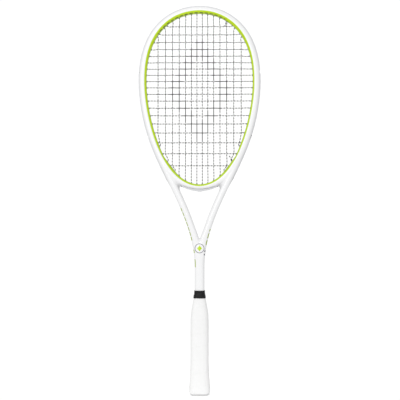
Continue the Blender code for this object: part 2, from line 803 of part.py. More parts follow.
def string_route():
    """The one-piece string: mains from the lower right tie-off, then crosses bottom to top."""
    coils = knot("bottom_6")
    route = [coils[-1] + LOW_TAIL] + coils[::-1]
    route += through_hole("bottom_6", 1, False, PAIR)
    route += outside_run("bottom_6", "bottom_7", 1, -LANE)
    route += through_hole("bottom_7", 1, True)
    for side, order in ((1, range(7, 0, -1)), (-1, range(1, 8))):
        upward = side > 0
        for main in order:
            name_in = f"bottom_{main}" if upward else f"top_{main}"
            name_out = f"top_{main}" if upward else f"bottom_{main}"
            following = main - side
            route += [main_end(name_in, side), main_end(name_out, side)]
            shift = -PAIR if (name_out, side) in TIE_OFFS else 0.0
            route += through_hole(name_out, side, False, shift)
            if name_out == "bottom_7":
                break
            if following == 0:
                route += [channel_point(0, 1, -LANE)]
                route += through_hole("top_1", -1, True)
                break
            goal = f"top_{following}" if upward else f"bottom_{following}"
            if name_out in THROAT_HOLES:
                route += throat_run(name_out, goal, side)
            else:
                route += outside_run(name_out, goal, side, -LANE)
            shift = -PAIR if (goal, side) in TIE_OFFS else 0.0
            route += through_hole(goal, side, True, shift)
            upward = not upward
    route += outside_run("bottom_7", "cross_18", -1, -LANE)
    route += outside_run("cross_18", "cross_19", -1, LANE)
    side = -1
    for index in range(CROSSES, 0, -1):
        route += through_hole(f"cross_{index}", side, True)
        route += cross_weave(index, side)
        side = -side
        route += through_hole(f"cross_{index}", side, False)
        if index > 1:
            route += outside_run(f"cross_{index}", f"cross_{index - 1}", side, LANE)
    route += outside_run("cross_1", "top_5", 1, LANE)
    route += through_hole("top_5", 1, True, PAIR)
    coils = knot("top_5")
    return route + coils + [coils[-1] + TOP_TAIL]


def build_string(parts, material):
    return tube_object("string", string_route(), STRING_RADIUS, parts, material)


# ---------------------------------------------------------------- handle

def handle_rings(levels):
    """Rings across the handle; levels lists (height, half width, half depth)."""
    rings = []
    for height, half_x, half_y in levels:
        ring = []
        for index in range(HANDLE_SIDES):
            angle = 2 * math.pi * (index + 0.5) / HANDLE_SIDES
            x, y = super_point(half_x, half_y, HANDLE_POWER, angle)
            ring.append(Vector((x, y, height)))
        rings.append(ring)
    return rings


def grip_levels():
    """Outer surface of the grip from the butt's flare to its thin end under the tape."""
    flatter = GRIP_HALF_X - GRIP_HALF_Y
    return [(height * MM, half * MM, half * MM - flatter * min(1.0, half * MM / GRIP_HALF_X))
            for height, half in GRIP_PROFILE]


def inset_levels(levels, inset):
    return [(height, half_x - inset, half_y - inset) for height, half_x, half_y in levels]


def shaft_cutter(cutters, name, top):
    """A rod of the shaft's own section plus the gap, to bore the pieces that sit on it."""
    outline = tube_section(SHAFT_WIDTH + 2 * GAP, SHAFT_DEPTH + 2 * GAP, 0.0)
    right = sorted([(u, v) for u, v in outline if u > 0], key=lambda pair: pair[1])
    left = [(-u, v) for u, v in reversed(right)]
    crown = SHAFT_DEPTH / 2 + GAP
    outline = [(0, -crown)] + right + [(0, crown)] + left
    rings = [[Vector((u, v, height)) for u, v in outline]
             for height in (SHAFT_BOTTOM_Z - 2 * MM, top)]
    return add_object(name, loft_mesh(name, rings), cutters)


def staple_box(side, height, place, grow):
    """One straight length of a staple: its crown (place None) or the leg at a place across."""
    face = cap_half_at(height)[0] + GAP / 3
    wire = STAPLE_WIRE / 2 + grow
    low_x = face - grow if place is None else face - STAPLE_LEG - grow
    high_x = face + STAPLE_WIRE * 0.75 + grow
    low_y = (-STAPLE_HALF_SPAN if place is None else place) - wire
    high_y = (STAPLE_HALF_SPAN if place is None else place) + wire
    near, far = sorted((side * low_x, side * high_x))
    return Vector((near, low_y, height - wire)), Vector((far, high_y, height + wire))


def cap_half_at(height):
    """Outer half sizes of the cap's skirt, which the grip is wrapped over."""
    share = (height - CAP_RIM_TOP_Z) / (CAP_TOP_Z - CAP_RIM_TOP_Z)
    half_x = CAP_SKIRT_HALF + (CAP_SKIRT_TOP_HALF - CAP_SKIRT_HALF) * share ** 0.7
    return half_x, half_x - (GRIP_HALF_X - GRIP_HALF_Y)


def cap_levels():
    return [(height * MM, *cap_half_at(height * MM)) for height in CAP_LEVELS]


def build_butt_cap(parts, cutters, material):
    """A cup with a rolled rim at the end and a thin skirt up the pallets."""
    flatter = GRIP_HALF_X - GRIP_HALF_Y
    rim = [(height * MM, half * MM, half * MM - flatter) for height, half in CAP_RIM]
    cap = add_object("butt_cap", loft_mesh("butt_cap", handle_rings(rim + cap_levels())),
                     parts, material)
    hollow = inset_levels(cap_levels()[1:], CAP_SKIRT)
    floor = (CAP_FLOOR, hollow[0][1], hollow[0][2])
    inner = extend_last_ring(handle_rings([floor] + hollow), -2 * MM)
    boolean(cap, "DIFFERENCE", add_object("cap_hollow", loft_mesh("cap_hollow", inner), cutters))
    return cap


def pallet_levels():
    """Foam core: rebated inside the cap, then full size, then tapering on to the shaft."""
    levels = inset_levels(cap_levels()[1:], CAP_SKIRT + GAP)
    levels[0] = (PALLET_BOTTOM_Z, levels[0][1], levels[0][2])
    levels[-1] = (CAP_TOP_Z + 2 * GAP, levels[-1][1], levels[-1][2])
    core = inset_levels(grip_levels(), GRIP_THICKNESS + GAP)
    upper = [level for level in core if CORE_SHOULDER_Z < level[0] < PALLET_TOP_Z]
    return levels + [(CAP_TOP_Z + 2 * MM, upper[0][1], upper[0][2])] + upper


def build_pallets(parts, cutters, material):
    shaft = shaft_cutter(cutters, "pallet_shaft", PALLET_TOP_Z + 5 * MM)
    pallets = []
    for word, side in (("front", -1), ("rear", 1)):
        pallet = add_object(f"pallet_{word}", loft_mesh(f"pallet_{word}", handle_rings(pallet_levels())),
                            parts, material)
        low_y, high_y = sorted((-side * 30 * MM, side * GAP / 2))
        half = [(Vector((-30 * MM, low_y, 0)), Vector((30 * MM, high_y, TAPE_TOP_Z)))]
        cutter = add_object(f"pallet_{word}_half", boxes_mesh(f"pallet_{word}_half", half), cutters)
        boolean(pallet, "DIFFERENCE", cutter)
        boolean(pallet, "DIFFERENCE", shaft)
        pallets.append(pallet)
    return pallets


def build_grip(parts, cutters, material):
    outer = grip_levels()
    grip = add_object("grip", loft_mesh("grip", handle_rings(outer)), parts, material)
    inner = [(height, half_x + GAP, half_y + GAP) for height, half_x, half_y in cap_levels()]
    inner[0] = (1 * MM, inner[0][1], inner[0][2])
    inner[-1] = (CAP_TOP_Z + 1 * MM, inner[-1][1], inner[-1][2])
    core = inset_levels(outer, GRIP_THICKNESS)
    inner += [level for level in core if CORE_SHOULDER_Z < level[0] < PALLET_TOP_Z]
    cutter = add_object("grip_core", loft_mesh("grip_core", handle_rings(inner)), cutters)
    boolean(grip, "DIFFERENCE", cutter)
    boolean(grip, "DIFFERENCE", shaft_cutter(cutters, "grip_shaft", TAPE_TOP_Z))
    return grip


def build_staples(parts, cutters, material, holders):
    """Two staples a side through the cap into both pallets, and their slots in the holders."""
    legs = (-STAPLE_HALF_SPAN, STAPLE_HALF_SPAN)
    crown_slots = []
    leg_slots = []
    for word, side in (("left", -1), ("right", 1)):
        for level, height in zip(("low", "high"), STAPLE_HEIGHTS):
            name = f"staple_{word}_{level}"
            crown = boxes_mesh(name, [staple_box(side, height, None, 0)])
            staple = add_object(name, crown, parts, material)
            leg_boxes = [staple_box(side, height, place, 0) for place in legs]
            boolean(staple, "UNION", add_object(name + "_legs", boxes_mesh(name + "_legs", leg_boxes),
                                                cutters))
            crown_slots.append(staple_box(side, height, None, GAP))
            leg_slots += [staple_box(side, height, place, GAP) for place in legs]
    for name, slots in (("crown_slots", crown_slots), ("leg_slots", leg_slots)):
        cutter = add_object(name, boxes_mesh(name, slots), cutters)
        for holder in holders:
            boolean(holder, "DIFFERENCE", cutter)


def build_finishing_tape(parts, cutters, material):
    """The tape that ties down the grip's thin end, over its edge and on to the shaft."""
    top_x = SHAFT_WIDTH / 2 + TAPE_THICKNESS
    top_y = SHAFT_DEPTH / 2 + TAPE_THICKNESS
    levels = [(TAPE_BOTTOM_Z, top_x + TAPE_BULGE, top_y + TAPE_BULGE),
              (TAPE_BOTTOM_Z + TAPE_BULGE_RUN, top_x + TAPE_BULGE * 0.8, top_y + TAPE_BULGE * 0.8),
              (TAPE_TOP_Z, top_x, top_y)]
    tape = add_object("finishing_tape", loft_mesh("finishing_tape", handle_rings(levels)),
                      parts, material)
    boolean(tape, "DIFFERENCE", shaft_cutter(cutters, "tape_shaft", TAPE_TOP_Z + 5 * MM))
    return tape


# ---------------------------------------------------------------- assembly

def build_racket():
    clear_scene()
    parts = make_collection("squash_racket")
    cutters = make_collection("cutters")
    paint = make_material("white_paint", (0.93, 0.93, 0.93), 0.25)
    bridge_paint = make_material("bridge_paint", (0.93, 0.93, 0.92), 0.25)
    strip_plastic = make_material("strip_plastic", (0.88, 0.88, 0.88), 0.45)
    string_gut = make_material("string", (0.85, 0.85, 0.83), 0.3)
    foam = make_material("pallet_foam", (0.75, 0.72, 0.62), 0.9)
    cap_plastic = make_material("cap_plastic", (0.9, 0.9, 0.9), 0.4)
    steel = make_material("staple_steel", (0.7, 0.7, 0.72), 0.35, 1.0)
    grip_cover = make_material("grip_cover", (0.95, 0.95, 0.95), 0.6)
    tape_black = make_material("tape_black", (0.02, 0.02, 0.02), 0.5)

    build_frame(parts, cutters, paint)
    build_bridge(parts, cutters, bridge_paint)
    build_strips(parts, cutters, strip_plastic)
    build_string(parts, string_gut)
    cap = build_butt_cap(parts, cutters, cap_plastic)
    pallets = build_pallets(parts, cutters, foam)
    grip = build_grip(parts, cutters, grip_cover)
    build_staples(parts, cutters, steel, [cap, grip] + pallets)
    build_finishing_tape(parts, cutters, tape_black)


build_racket()
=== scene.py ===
"""Looks of the squash racket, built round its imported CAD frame.

The hairpin and its bridge become one seamless painted body, and the string, the grommet strips,
the butt cap, the grip and its tape are rebuilt smooth and detailed. The CAD's pallets and staples
stay as they are, inside the handle. Metres, +Z up the racket, front towards -Y.
"""

import math
from itertools import accumulate

import bmesh
import bpy
import numpy as np
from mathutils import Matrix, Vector, noise


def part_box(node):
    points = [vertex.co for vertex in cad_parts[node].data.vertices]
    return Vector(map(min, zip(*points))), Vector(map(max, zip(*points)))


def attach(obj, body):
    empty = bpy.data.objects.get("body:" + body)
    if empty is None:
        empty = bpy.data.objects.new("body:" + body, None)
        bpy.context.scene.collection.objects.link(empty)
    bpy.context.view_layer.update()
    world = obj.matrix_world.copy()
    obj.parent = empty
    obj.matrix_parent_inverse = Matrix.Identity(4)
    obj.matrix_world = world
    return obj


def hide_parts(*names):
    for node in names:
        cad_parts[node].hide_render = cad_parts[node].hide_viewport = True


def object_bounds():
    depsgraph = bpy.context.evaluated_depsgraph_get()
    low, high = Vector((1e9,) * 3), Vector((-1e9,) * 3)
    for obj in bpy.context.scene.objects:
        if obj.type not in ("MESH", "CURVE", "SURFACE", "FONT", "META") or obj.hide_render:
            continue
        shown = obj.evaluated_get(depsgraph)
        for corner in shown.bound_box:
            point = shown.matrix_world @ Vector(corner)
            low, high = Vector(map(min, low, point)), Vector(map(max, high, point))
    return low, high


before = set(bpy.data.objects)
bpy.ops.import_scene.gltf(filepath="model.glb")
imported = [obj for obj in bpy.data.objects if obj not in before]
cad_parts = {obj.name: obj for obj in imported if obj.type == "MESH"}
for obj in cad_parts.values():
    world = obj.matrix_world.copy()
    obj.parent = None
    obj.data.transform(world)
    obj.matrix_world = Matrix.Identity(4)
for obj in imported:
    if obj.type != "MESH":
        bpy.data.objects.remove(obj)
CAD_LOW, CAD_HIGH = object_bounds()

MM = 0.001

# Head and hairpin, as the CAD draws them
LENGTH = CAD_HIGH.z
HEAD_HALF_LENGTH = 150.2 * MM
HEAD_HALF_WIDTH = 93.6 * MM
HEAD_EGG = 8.8 * MM
HEAD_SHOULDER = 2.2 * MM
HOOP_WIDTH_TOP = 12.2 * MM
HOOP_WIDTH_SIDE = 12.8 * MM
HOOP_DEPTH = 18.5 * MM
ARM_WIDTH = 12.2 * MM
ARM_LEAVES_HOOP = 2.05
ARM_THIN_RUN = 60 * MM
ARM_UPPER_REACH = 73 * MM
ARM_LOWER_REACH = 78 * MM
SHAFT_WIDTH = 17.2 * MM
SHAFT_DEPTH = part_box("frame")[1].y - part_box("frame")[0].y
SHAFT_TOP_Z = 226 * MM
SHAFT_END_Z = 12 * MM
DEEPER_BELOW_Z = 420 * MM
CROTCH_TOP_Z = 305 * MM
CROTCH_BOTTOM_Z = 232 * MM
TUBE_POWER = 2.8
BRIDGE_WIDTH = 8.6 * MM
BRIDGE_FLARE = 24 * MM
BRIDGE_REACH = 0.98
BRIDGE_INSET = 2.4 * MM
BRIDGE_END_WIDTH = 8 * MM
BRIDGE_END_TAPER = 13.5 * MM      # per radian
CROTCH_FILLET = 3.5 * MM
THROAT_FILLET = 13 * MM
BODY_VOXEL = 1.3 * MM
SURFACE_PASSES = 3
TUBES_MEET_BELOW_Z = 330 * MM
TUBES_MEET_WITHIN_X = 30 * MM
BRIDGE_ZONE_LOW = 345 * MM
BRIDGE_ZONE_HIGH = 480 * MM
BRIDGE_ZONE_HALF = 80 * MM
TUBE_ZONE_INNER = -24 * MM       # how far from the outer edge the tubes are looked for
TUBE_ZONE_OUTER = 3 * MM
FAR_OUTSIDE = 10 * MM

# Grommet strips
STRIP_PROUD = 1.4 * MM
STRIP_FLOOR = -0.2 * MM
STRIP_BACK = -1.2 * MM
STRIP_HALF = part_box("bumper_strip")[1].y
STRIP_LIP = 0.3 * MM
STRIP_BROW = 0.4 * MM
STRIP_ROUNDING = 0.35 * MM
STRIP_END_TAPER = 4 * MM
STRIP_STEP = 1.5 * MM
CHANNEL_HALF = 2.2 * MM
THROAT_STRIP_GAP = 0.05 * MM
SIDE_STRIP_TOP_Z = 570 * MM
YOKE_STRIP_TOP_Z = 457 * MM
YOKE_STRIP_PAST = 5.5 * MM      # how far the lowest strips reach past their last hole
STRIP_JOINT = 1.2 * MM
THROAT_STRIP_HALF = 34.2 * MM
THROAT_STRIP_COUNT = 64
BARREL_RADIUS = 1.5 * MM
BORE_RADIUS = 0.95 * MM
BARREL_PROUD = 0.8 * MM
BARREL_DEPTH = 2.5 * MM
TIE_OFF_EXTRA = 0.7 * MM
BARREL_SIDES = 14

# String and its pattern
STRING_RADIUS = 0.72 * MM
MAIN_WEAVE = 0.4 * MM
CROSS_WEAVE = 1.0 * MM
LANE = 1.3 * MM
PAIR = 0.72 * MM
CHANNEL_LIFT = 0.54 * MM
THROAT_LIFT = CHANNEL_LIFT - STRIP_BACK + THROAT_STRIP_GAP
OUTSIDE_STEP = 6 * MM
STRING_STEP = 3 * MM
STRING_SIDES = 8
MOUTH_PAST = 0.7 * MM
MAIN_END_CLEAR = 2 * MM
KNOT_TURNS = 1.0
KNOT_SLACK = 0.1 * MM
LOW_TAIL = Vector((-4.6 * MM, 0.6 * MM, 6.0 * MM))
TOP_TAIL = Vector((-4.4 * MM, 0.6 * MM, -4.6 * MM))
KNOT_OFF = 1.2 * MM               # from the hole's mouth to the first coil
KNOT_STEPS = 12                  # points in a turn
STRING_EASE = 0.36
HOLE_PITCH_MIN = 6.2 * MM
MAIN_HOLE_LEAD = 0.055
THROAT_PINCH = 0.92
MAINS_A_SIDE = 7
THROAT_MAINS = 4
MAIN_FIRST = 4.75 * MM
MAIN_PITCH = 9.7 * MM
MAIN_PITCH_GROWTH = 0.69 * MM
CROSSES = 19
CROSS_TOP_Z = 648.7 * MM
CROSS_PITCH = 11.0 * MM
CROSS_TIGHTEST = 6
CROSS_SPREAD_TOP = 3.4 * MM
CROSS_SPREAD_BOTTOM = 10.3 * MM
CROSS_SPREAD_POWER = 2.4

# Handle
HANDLE_POWER = 3.2
HANDLE_SIDES = 72
GRIP_HALF_X = 16.2 * MM
GRIP_FLATTER = 2.0 * MM          # the grip is this much less deep than wide, each side
GRIP_THICKNESS = 1.9 * MM
GRIP_WIDEST = 19.2 * MM
CAP_WIDEST = 18.5 * MM
GRIP_PROFILE = ((3.9, 18.1), (5.2, 18.6), (9, 19.1), (14, 19.2), (22, 18.3), (32, 17.4), (46, 16.6),
                (62, 16.2), (126, 16.2), (138, 15.8), (148, 14.8), (157, 13.3), (165, 11.6),
                (169.8, 10.5), (171.3, 10.3))   # height and half width in mm
GRIP_LEVELS = 190
WRAP_PITCH = 23 * MM
WRAP_STEP = 0.4 * MM
WRAP_WOBBLE = 0.06 * MM
CAP_PROFILE = ((0, 13.2), (0.3, 14.6), (0.8, 15.7), (1.6, 16.8), (2.6, 17.6), (3.6, 18.1),
               (3.85, 17.6), (9, 16.4))   # height and half width in mm
CAP_RING_DEPTH = 0.35 * MM
TAPE_CLEAR = 0.9 * MM            # off the shaft at the tape's top
TAPE_FULLER_X = 1.35 * MM        # further off at its foot, over the grip's end
TAPE_FULLER_Y = 0.8 * MM
TAPE_SUNK = 0.4 * MM
TAPE_ROWS = 22
TAPE_RAGGED = 0.5 * MM
TAPE_WRINKLE = 0.28 * MM

# Paint
LIME = (0.50, 0.70, 0.003)
# Darker lime for the printed arm lines: painted shade, standing for the shade on the arms' side faces
SHADED_LIME = (0.33, 0.45, 0.006)
WHITE_PAINT = (0.87, 0.87, 0.875)
INK = (0.002, 0.002, 0.0025)

BADGE_Z = 258.3                  # in mm, as the looks measure

# Studio
FLOOR_RADIUS = 0.3
FLOOR_DROP = 0.3 * MM            # clear of the cap's flat end, so that the two don't flicker
FLOOR_GLOW = 0.16
FLOOR_GLOW_SEEN = 0.26           # added where the camera looks at it
ROOM_LIGHT = 0.71
BACKDROP_LIGHT = 1.05
CAMERA_DISTANCE = 2.2
CAMERA_LENS = 51.1 * CAMERA_DISTANCE
CAMERA_AZIMUTH = math.radians(1.2)
CAMERA_ELEVATION = math.radians(-0.5)

HEAD_CENTRE_Z = LENGTH - STRIP_PROUD - HOOP_WIDTH_TOP - HEAD_HALF_LENGTH


# ---------------------------------------------------------------- outlines

def smooth_step(low, high, value):
    share = np.clip((value - low) / (high - low), 0.0, 1.0)
    return share * share * (3 - 2 * share)


def head_inside(angle):
    """Point (x, z) of the head's inner outline; angle 0 is the top, pi the bridge."""
    x = (HEAD_HALF_WIDTH * math.sin(angle) + HEAD_EGG * math.sin(2 * angle)
         + HEAD_SHOULDER * math.sin(3 * angle))
    return Vector((x, HEAD_CENTRE_Z + HEAD_HALF_LENGTH * math.cos(angle)))


def head_outward(angle):
    slope_x = (HEAD_HALF_WIDTH * math.cos(angle) + 2 * HEAD_EGG * math.cos(2 * angle)
               + 3 * HEAD_SHOULDER * math.cos(3 * angle))
    slope_z = -HEAD_HALF_LENGTH * math.sin(angle)
    return Vector((-slope_z, slope_x)).normalized()


def hoop_width(angle):
    return HOOP_WIDTH_TOP + (HOOP_WIDTH_SIDE - HOOP_WIDTH_TOP) * abs(math.sin(angle))


def arm_edge_controls():
    """Control points of the arm's outer edge, from the hoop down to the shaft."""
    outward = head_outward(ARM_LEAVES_HOOP)
    start = head_inside(ARM_LEAVES_HOOP) + outward * hoop_width(ARM_LEAVES_HOOP)
    down = Vector((outward.y, -outward.x))
    end = Vector((SHAFT_WIDTH / 2, SHAFT_TOP_Z))
    return start, start + down * ARM_UPPER_REACH, end + Vector((0, ARM_LOWER_REACH)), end


def turns(sides):
    """Even angles once round."""
    return [2 * math.pi * index / sides for index in range(sides)]


def bezier(controls, share):
    first, second, third, fourth = controls
    rest = 1 - share
    return (first * rest ** 3 + second * 3 * rest ** 2 * share
            + third * 3 * rest * share ** 2 + fourth * share ** 3)


def eased(points, tension, count_steps):
    """A smooth curve through the points; count_steps says how finely a span is sampled."""
    fine = []
    padded = [points[0] * 2 - points[1]] + points + [points[-1] * 2 - points[-2]]
    for before, start, end, after in zip(padded, padded[1:], padded[2:], padded[3:]):
        span = (end - start).length
        lead = (end - before).normalized() * span * tension
        trail = (after - start).normalized() * span * tension
        count = count_steps(span)
        fine += [bezier((start, start + lead, end - trail, end), step / count)
                 for step in range(count)]
    return fine + [points[-1]]


class Line:
    """An open line in the head's plane, with the length and the outward direction along it."""

    def __init__(self, points, zero_at=0, marks=None):
        self.points = np.array([tuple(point) for point in points])
        self.steps = np.diff(self.points, axis=0)
        self.pieces = np.hypot(*self.steps.T)
        self.lengths = np.concatenate([[0.0], np.cumsum(self.pieces)])
        self.lengths -= self.lengths[zero_at]
        along = np.gradient(self.points, axis=0)
        self.outward = np.stack([-along[:, 1], along[:, 0]], axis=1)
        self.outward /= np.linalg.norm(self.outward, axis=1)[:, None]
        self.marks = self.lengths if marks is None else np.array(marks)

    def nearest(self, places):
        """For each place: its mark along the line, its signed outward distance, and outward."""
        batch = 3000
        found = []
        for low in range(0, len(places), batch):
            part = places[low:low + batch]
            offset = part[:, None, :] - self.points[:-1]
            share = np.clip((offset * self.steps).sum(2) / self.pieces ** 2, 0, 1)
            miss = offset - share[..., None] * self.steps
            best = (miss ** 2).sum(2).argmin(1)
            share = share[np.arange(len(part)), best][:, None]
            point = self.points[best] + share * self.steps[best]
            outward = self.outward[best] * (1 - share) + self.outward[best + 1] * share
            outward /= np.linalg.norm(outward, axis=1)[:, None]
            mark = self.marks[best] * (1 - share[:, 0]) + self.marks[best + 1] * share[:, 0]
            gap = ((part - point) * outward).sum(1)
            found.append(np.column_stack([mark, gap, outward]))
        table = np.concatenate(found)
        return table[:, 0], table[:, 1], table[:, 2:]

    def at(self, length):
        """Point and outward direction at a length; a negative length is the -X side."""
        side = -1 if length < 0 else 1
        place = [np.interp(abs(length), self.lengths, column)
                 for column in (*self.points.T, *self.outward.T)]
        outward = Vector((side * place[2], place[3])).normalized()
        return Vector((side * place[0], place[1])), outward

    def length_at_z(self, height):
        """Length where the line first comes down to a height."""
        below = int(np.argmax(self.points[:, 1] <= height))
        return self.lengths[below]


def outer_edge():
    """The hairpin's outer edge on the +X side, from just past the head's top to the butt."""
    overlap = 8
    hoop_steps = 200
    arm_steps = 150
    shaft_steps = 12
    points = []
    for step in range(-overlap, hoop_steps):
        angle = ARM_LEAVES_HOOP * step / hoop_steps
        points.append(head_inside(angle) + head_outward(angle) * hoop_width(angle))
    controls = arm_edge_controls()
    points += [bezier(controls, step / arm_steps) for step in range(arm_steps)]
    points += [Vector((SHAFT_WIDTH / 2, SHAFT_TOP_Z * (1 - step / shaft_steps)))
               for step in range(shaft_steps + 1)]
    return Line(points, zero_at=overlap)


def head_line(first, last, steps):
    """The head's inner outline between two angles, marked with its angle."""
    angles = [first + (last - first) * step / steps for step in range(steps + 1)]
    return Line([head_inside(angle) for angle in angles], marks=angles)


EDGE = outer_edge()
ARM_START = EDGE.length_at_z(arm_edge_controls()[0].y)
HEAD_LINE = head_line(-0.06, math.pi + 0.06, 260)
BRIDGE_LINE = head_line(math.pi - BRIDGE_REACH, math.pi + 0.06, 100)


# ---------------------------------------------------------------- painted body

def rounded_tube(gap, outward, width, depth, across):
    """Field and gradient of a tube whose outer edge is at gap 0; the field is negative inside."""
    half_u = width / 2
    half_v = depth / 2
    share_u = np.abs(gap + half_u) / half_u
    share_v = np.abs(across) / half_v
    reach = np.maximum((share_u ** TUBE_POWER + share_v ** TUBE_POWER) ** (1 / TUBE_POWER), 1e-6)
    slope_u = np.sign(gap + half_u) * (share_u / reach) ** (TUBE_POWER - 1)
    slope_v = np.sign(across) * (share_v / reach) ** (TUBE_POWER - 1) * half_u / half_v
    gradient = np.column_stack([outward[:, 0] * slope_u, slope_v, outward[:, 1] * slope_u])
    return (reach - 1) * half_u, gradient


def tube_width(length, height):
    """Width of the hairpin's tube in the plane of the head."""
    hoop = HOOP_WIDTH_TOP + (HOOP_WIDTH_SIDE - HOOP_WIDTH_TOP) * np.sin(
        np.clip(np.abs(length) / ARM_START, 0, 1) * ARM_LEAVES_HOOP)
    thin = smooth_step(ARM_START, ARM_START + ARM_THIN_RUN, length)
    arm = hoop + (ARM_WIDTH - hoop) * thin
    merge = 1 - smooth_step(CROTCH_BOTTOM_Z, CROTCH_TOP_Z, height)
    return arm + (SHAFT_WIDTH - arm) * merge


def tube_depth(height):
    deepen = 1 - smooth_step(SHAFT_TOP_Z, DEEPER_BELOW_Z, height)
    return HOOP_DEPTH + (SHAFT_DEPTH - HOOP_DEPTH) * deepen


def hairpin_field(x, y, z):
    """Field and gradient of the +X tube, at places on either side of the middle."""
    length, gap, outward = EDGE.nearest(np.column_stack([x, z]))
    return rounded_tube(gap, outward, tube_width(length, z), tube_depth(z), y)


def bridge_field(x, y, z):
    angle, gap, outward = BRIDGE_LINE.nearest(np.column_stack([x, z]))
    away = np.abs(math.pi - angle)
    inset = BRIDGE_INSET * smooth_step(0.72 * BRIDGE_REACH, BRIDGE_REACH, away)
    width = np.minimum(BRIDGE_WIDTH + BRIDGE_FLARE * away ** 2,
                       BRIDGE_END_WIDTH + BRIDGE_END_TAPER * (BRIDGE_REACH - away)) - inset
    value, gradient = rounded_tube(gap - inset - width, outward, width, HOOP_DEPTH, y)
    end = Vector(BRIDGE_LINE.points[0])
    along = (end - Vector(BRIDGE_LINE.points[1])).normalized()
    beyond = (x - end.x) * along.x + (z - end.y) * along.y
    capped = beyond > value
    value = np.where(capped, beyond, value)
    gradient[capped] = (along.x, 0, along.y)
    return value, gradient, away


def soft_union(first, second, softness):
    """Both solids as one, with a fillet of about the given size where they meet."""
    value_a, slope_a = first
    value_b, slope_b = second
    softness = np.maximum(softness, 1e-7)
    share = np.clip(0.5 + 0.5 * (value_b - value_a) / softness, 0, 1)
    value = value_b * (1 - share) + value_a * share - softness * share * (1 - share)
    return value, slope_a * share[:, None] + slope_b * (1 - share)[:, None]


def body_field(points):
    """Field and gradient of the whole painted body at points in space."""
    x, y, z = np.abs(points[:, 0]), points[:, 1], points[:, 2]
    value, gradient = hairpin_field(x, y, z)

    low = (z < TUBES_MEET_BELOW_Z) & (x < TUBES_MEET_WITHIN_X)
    other_value, other_slope = hairpin_field(-x[low], y[low], z[low])
    other_slope[:, 0] *= -1
    fillet = CROTCH_FILLET * smooth_step(CROTCH_BOTTOM_Z, CROTCH_BOTTOM_Z + 32 * MM, z[low])
    value[low], gradient[low] = soft_union((value[low], gradient[low]),
                                           (other_value, other_slope), fillet)

    near = (z > BRIDGE_ZONE_LOW) & (z < BRIDGE_ZONE_HIGH)
    bridge_value, bridge_slope, away = bridge_field(x[near], y[near], z[near])
    web = np.clip(1 - (y[near] / (HOOP_DEPTH / 2)) ** 2, 0, 1)
    fillet = THROAT_FILLET * web * (1 - smooth_step(0.55, 0.9, away))
    value[near], gradient[near] = soft_union((value[near], gradient[near]),
                                             (bridge_value, bridge_slope), fillet)
    gradient[:, 0] *= np.where(points[:, 0] < 0, -1, 1)
    end = SHAFT_END_Z - z > value
    value[end] = (SHAFT_END_Z - z)[end]
    gradient[end] = (0, 0, -1)
    return value, gradient


def surface_net(values, origin, step):
    """Vertices and outward quads of the zero surface of a grid, one vertex in each crossed cell."""
    inside = values < 0
    cell_shape = [size - 1 for size in values.shape]
    corners = sum(inside[i:i + cell_shape[0], j:j + cell_shape[1], k:k + cell_shape[2]].astype(int)
                  for i in (0, 1) for j in (0, 1) for k in (0, 1))
    crossed = (corners > 0) & (corners < 8)
    cells = np.argwhere(crossed)
    number = np.full(cell_shape, -1)
    number[crossed] = np.arange(len(cells))
    total = np.zeros((len(cells), 3))
    hits = np.zeros(len(cells))
    quads = []
    for axis in range(3):
        unit = np.eye(3, dtype=int)[axis]
        second = np.eye(3, dtype=int)[(axis + 1) % 3]
        third = np.eye(3, dtype=int)[(axis + 2) % 3]
        for shift in (0 * unit, second, third, second + third):
            low = cells + shift
            value_a = values[tuple(low.T)]
            value_b = values[tuple((low + unit).T)]
            cuts = (value_a < 0) != (value_b < 0)
            share = np.where(cuts, value_a / np.where(cuts, value_a - value_b, 1), 0)
            total += (low + unit * share[:, None]) * cuts[:, None]
            hits += cuts
        ahead = np.roll(inside, -1, axis=axis)
        changes = inside != ahead
        changes[tuple(slice(None) if other != axis else slice(-1, None) for other in range(3))] = False
        nodes = np.argwhere(changes)
        around = [nodes - second - third, nodes - third, nodes, nodes - second]
        ring = np.column_stack([number[tuple(cell.T)] for cell in around])
        flip = ~inside[tuple(nodes.T)]
        ring[flip] = ring[flip][:, ::-1]
        quads.append(ring)
    return origin + step * total / hits[:, None], np.concatenate(quads)


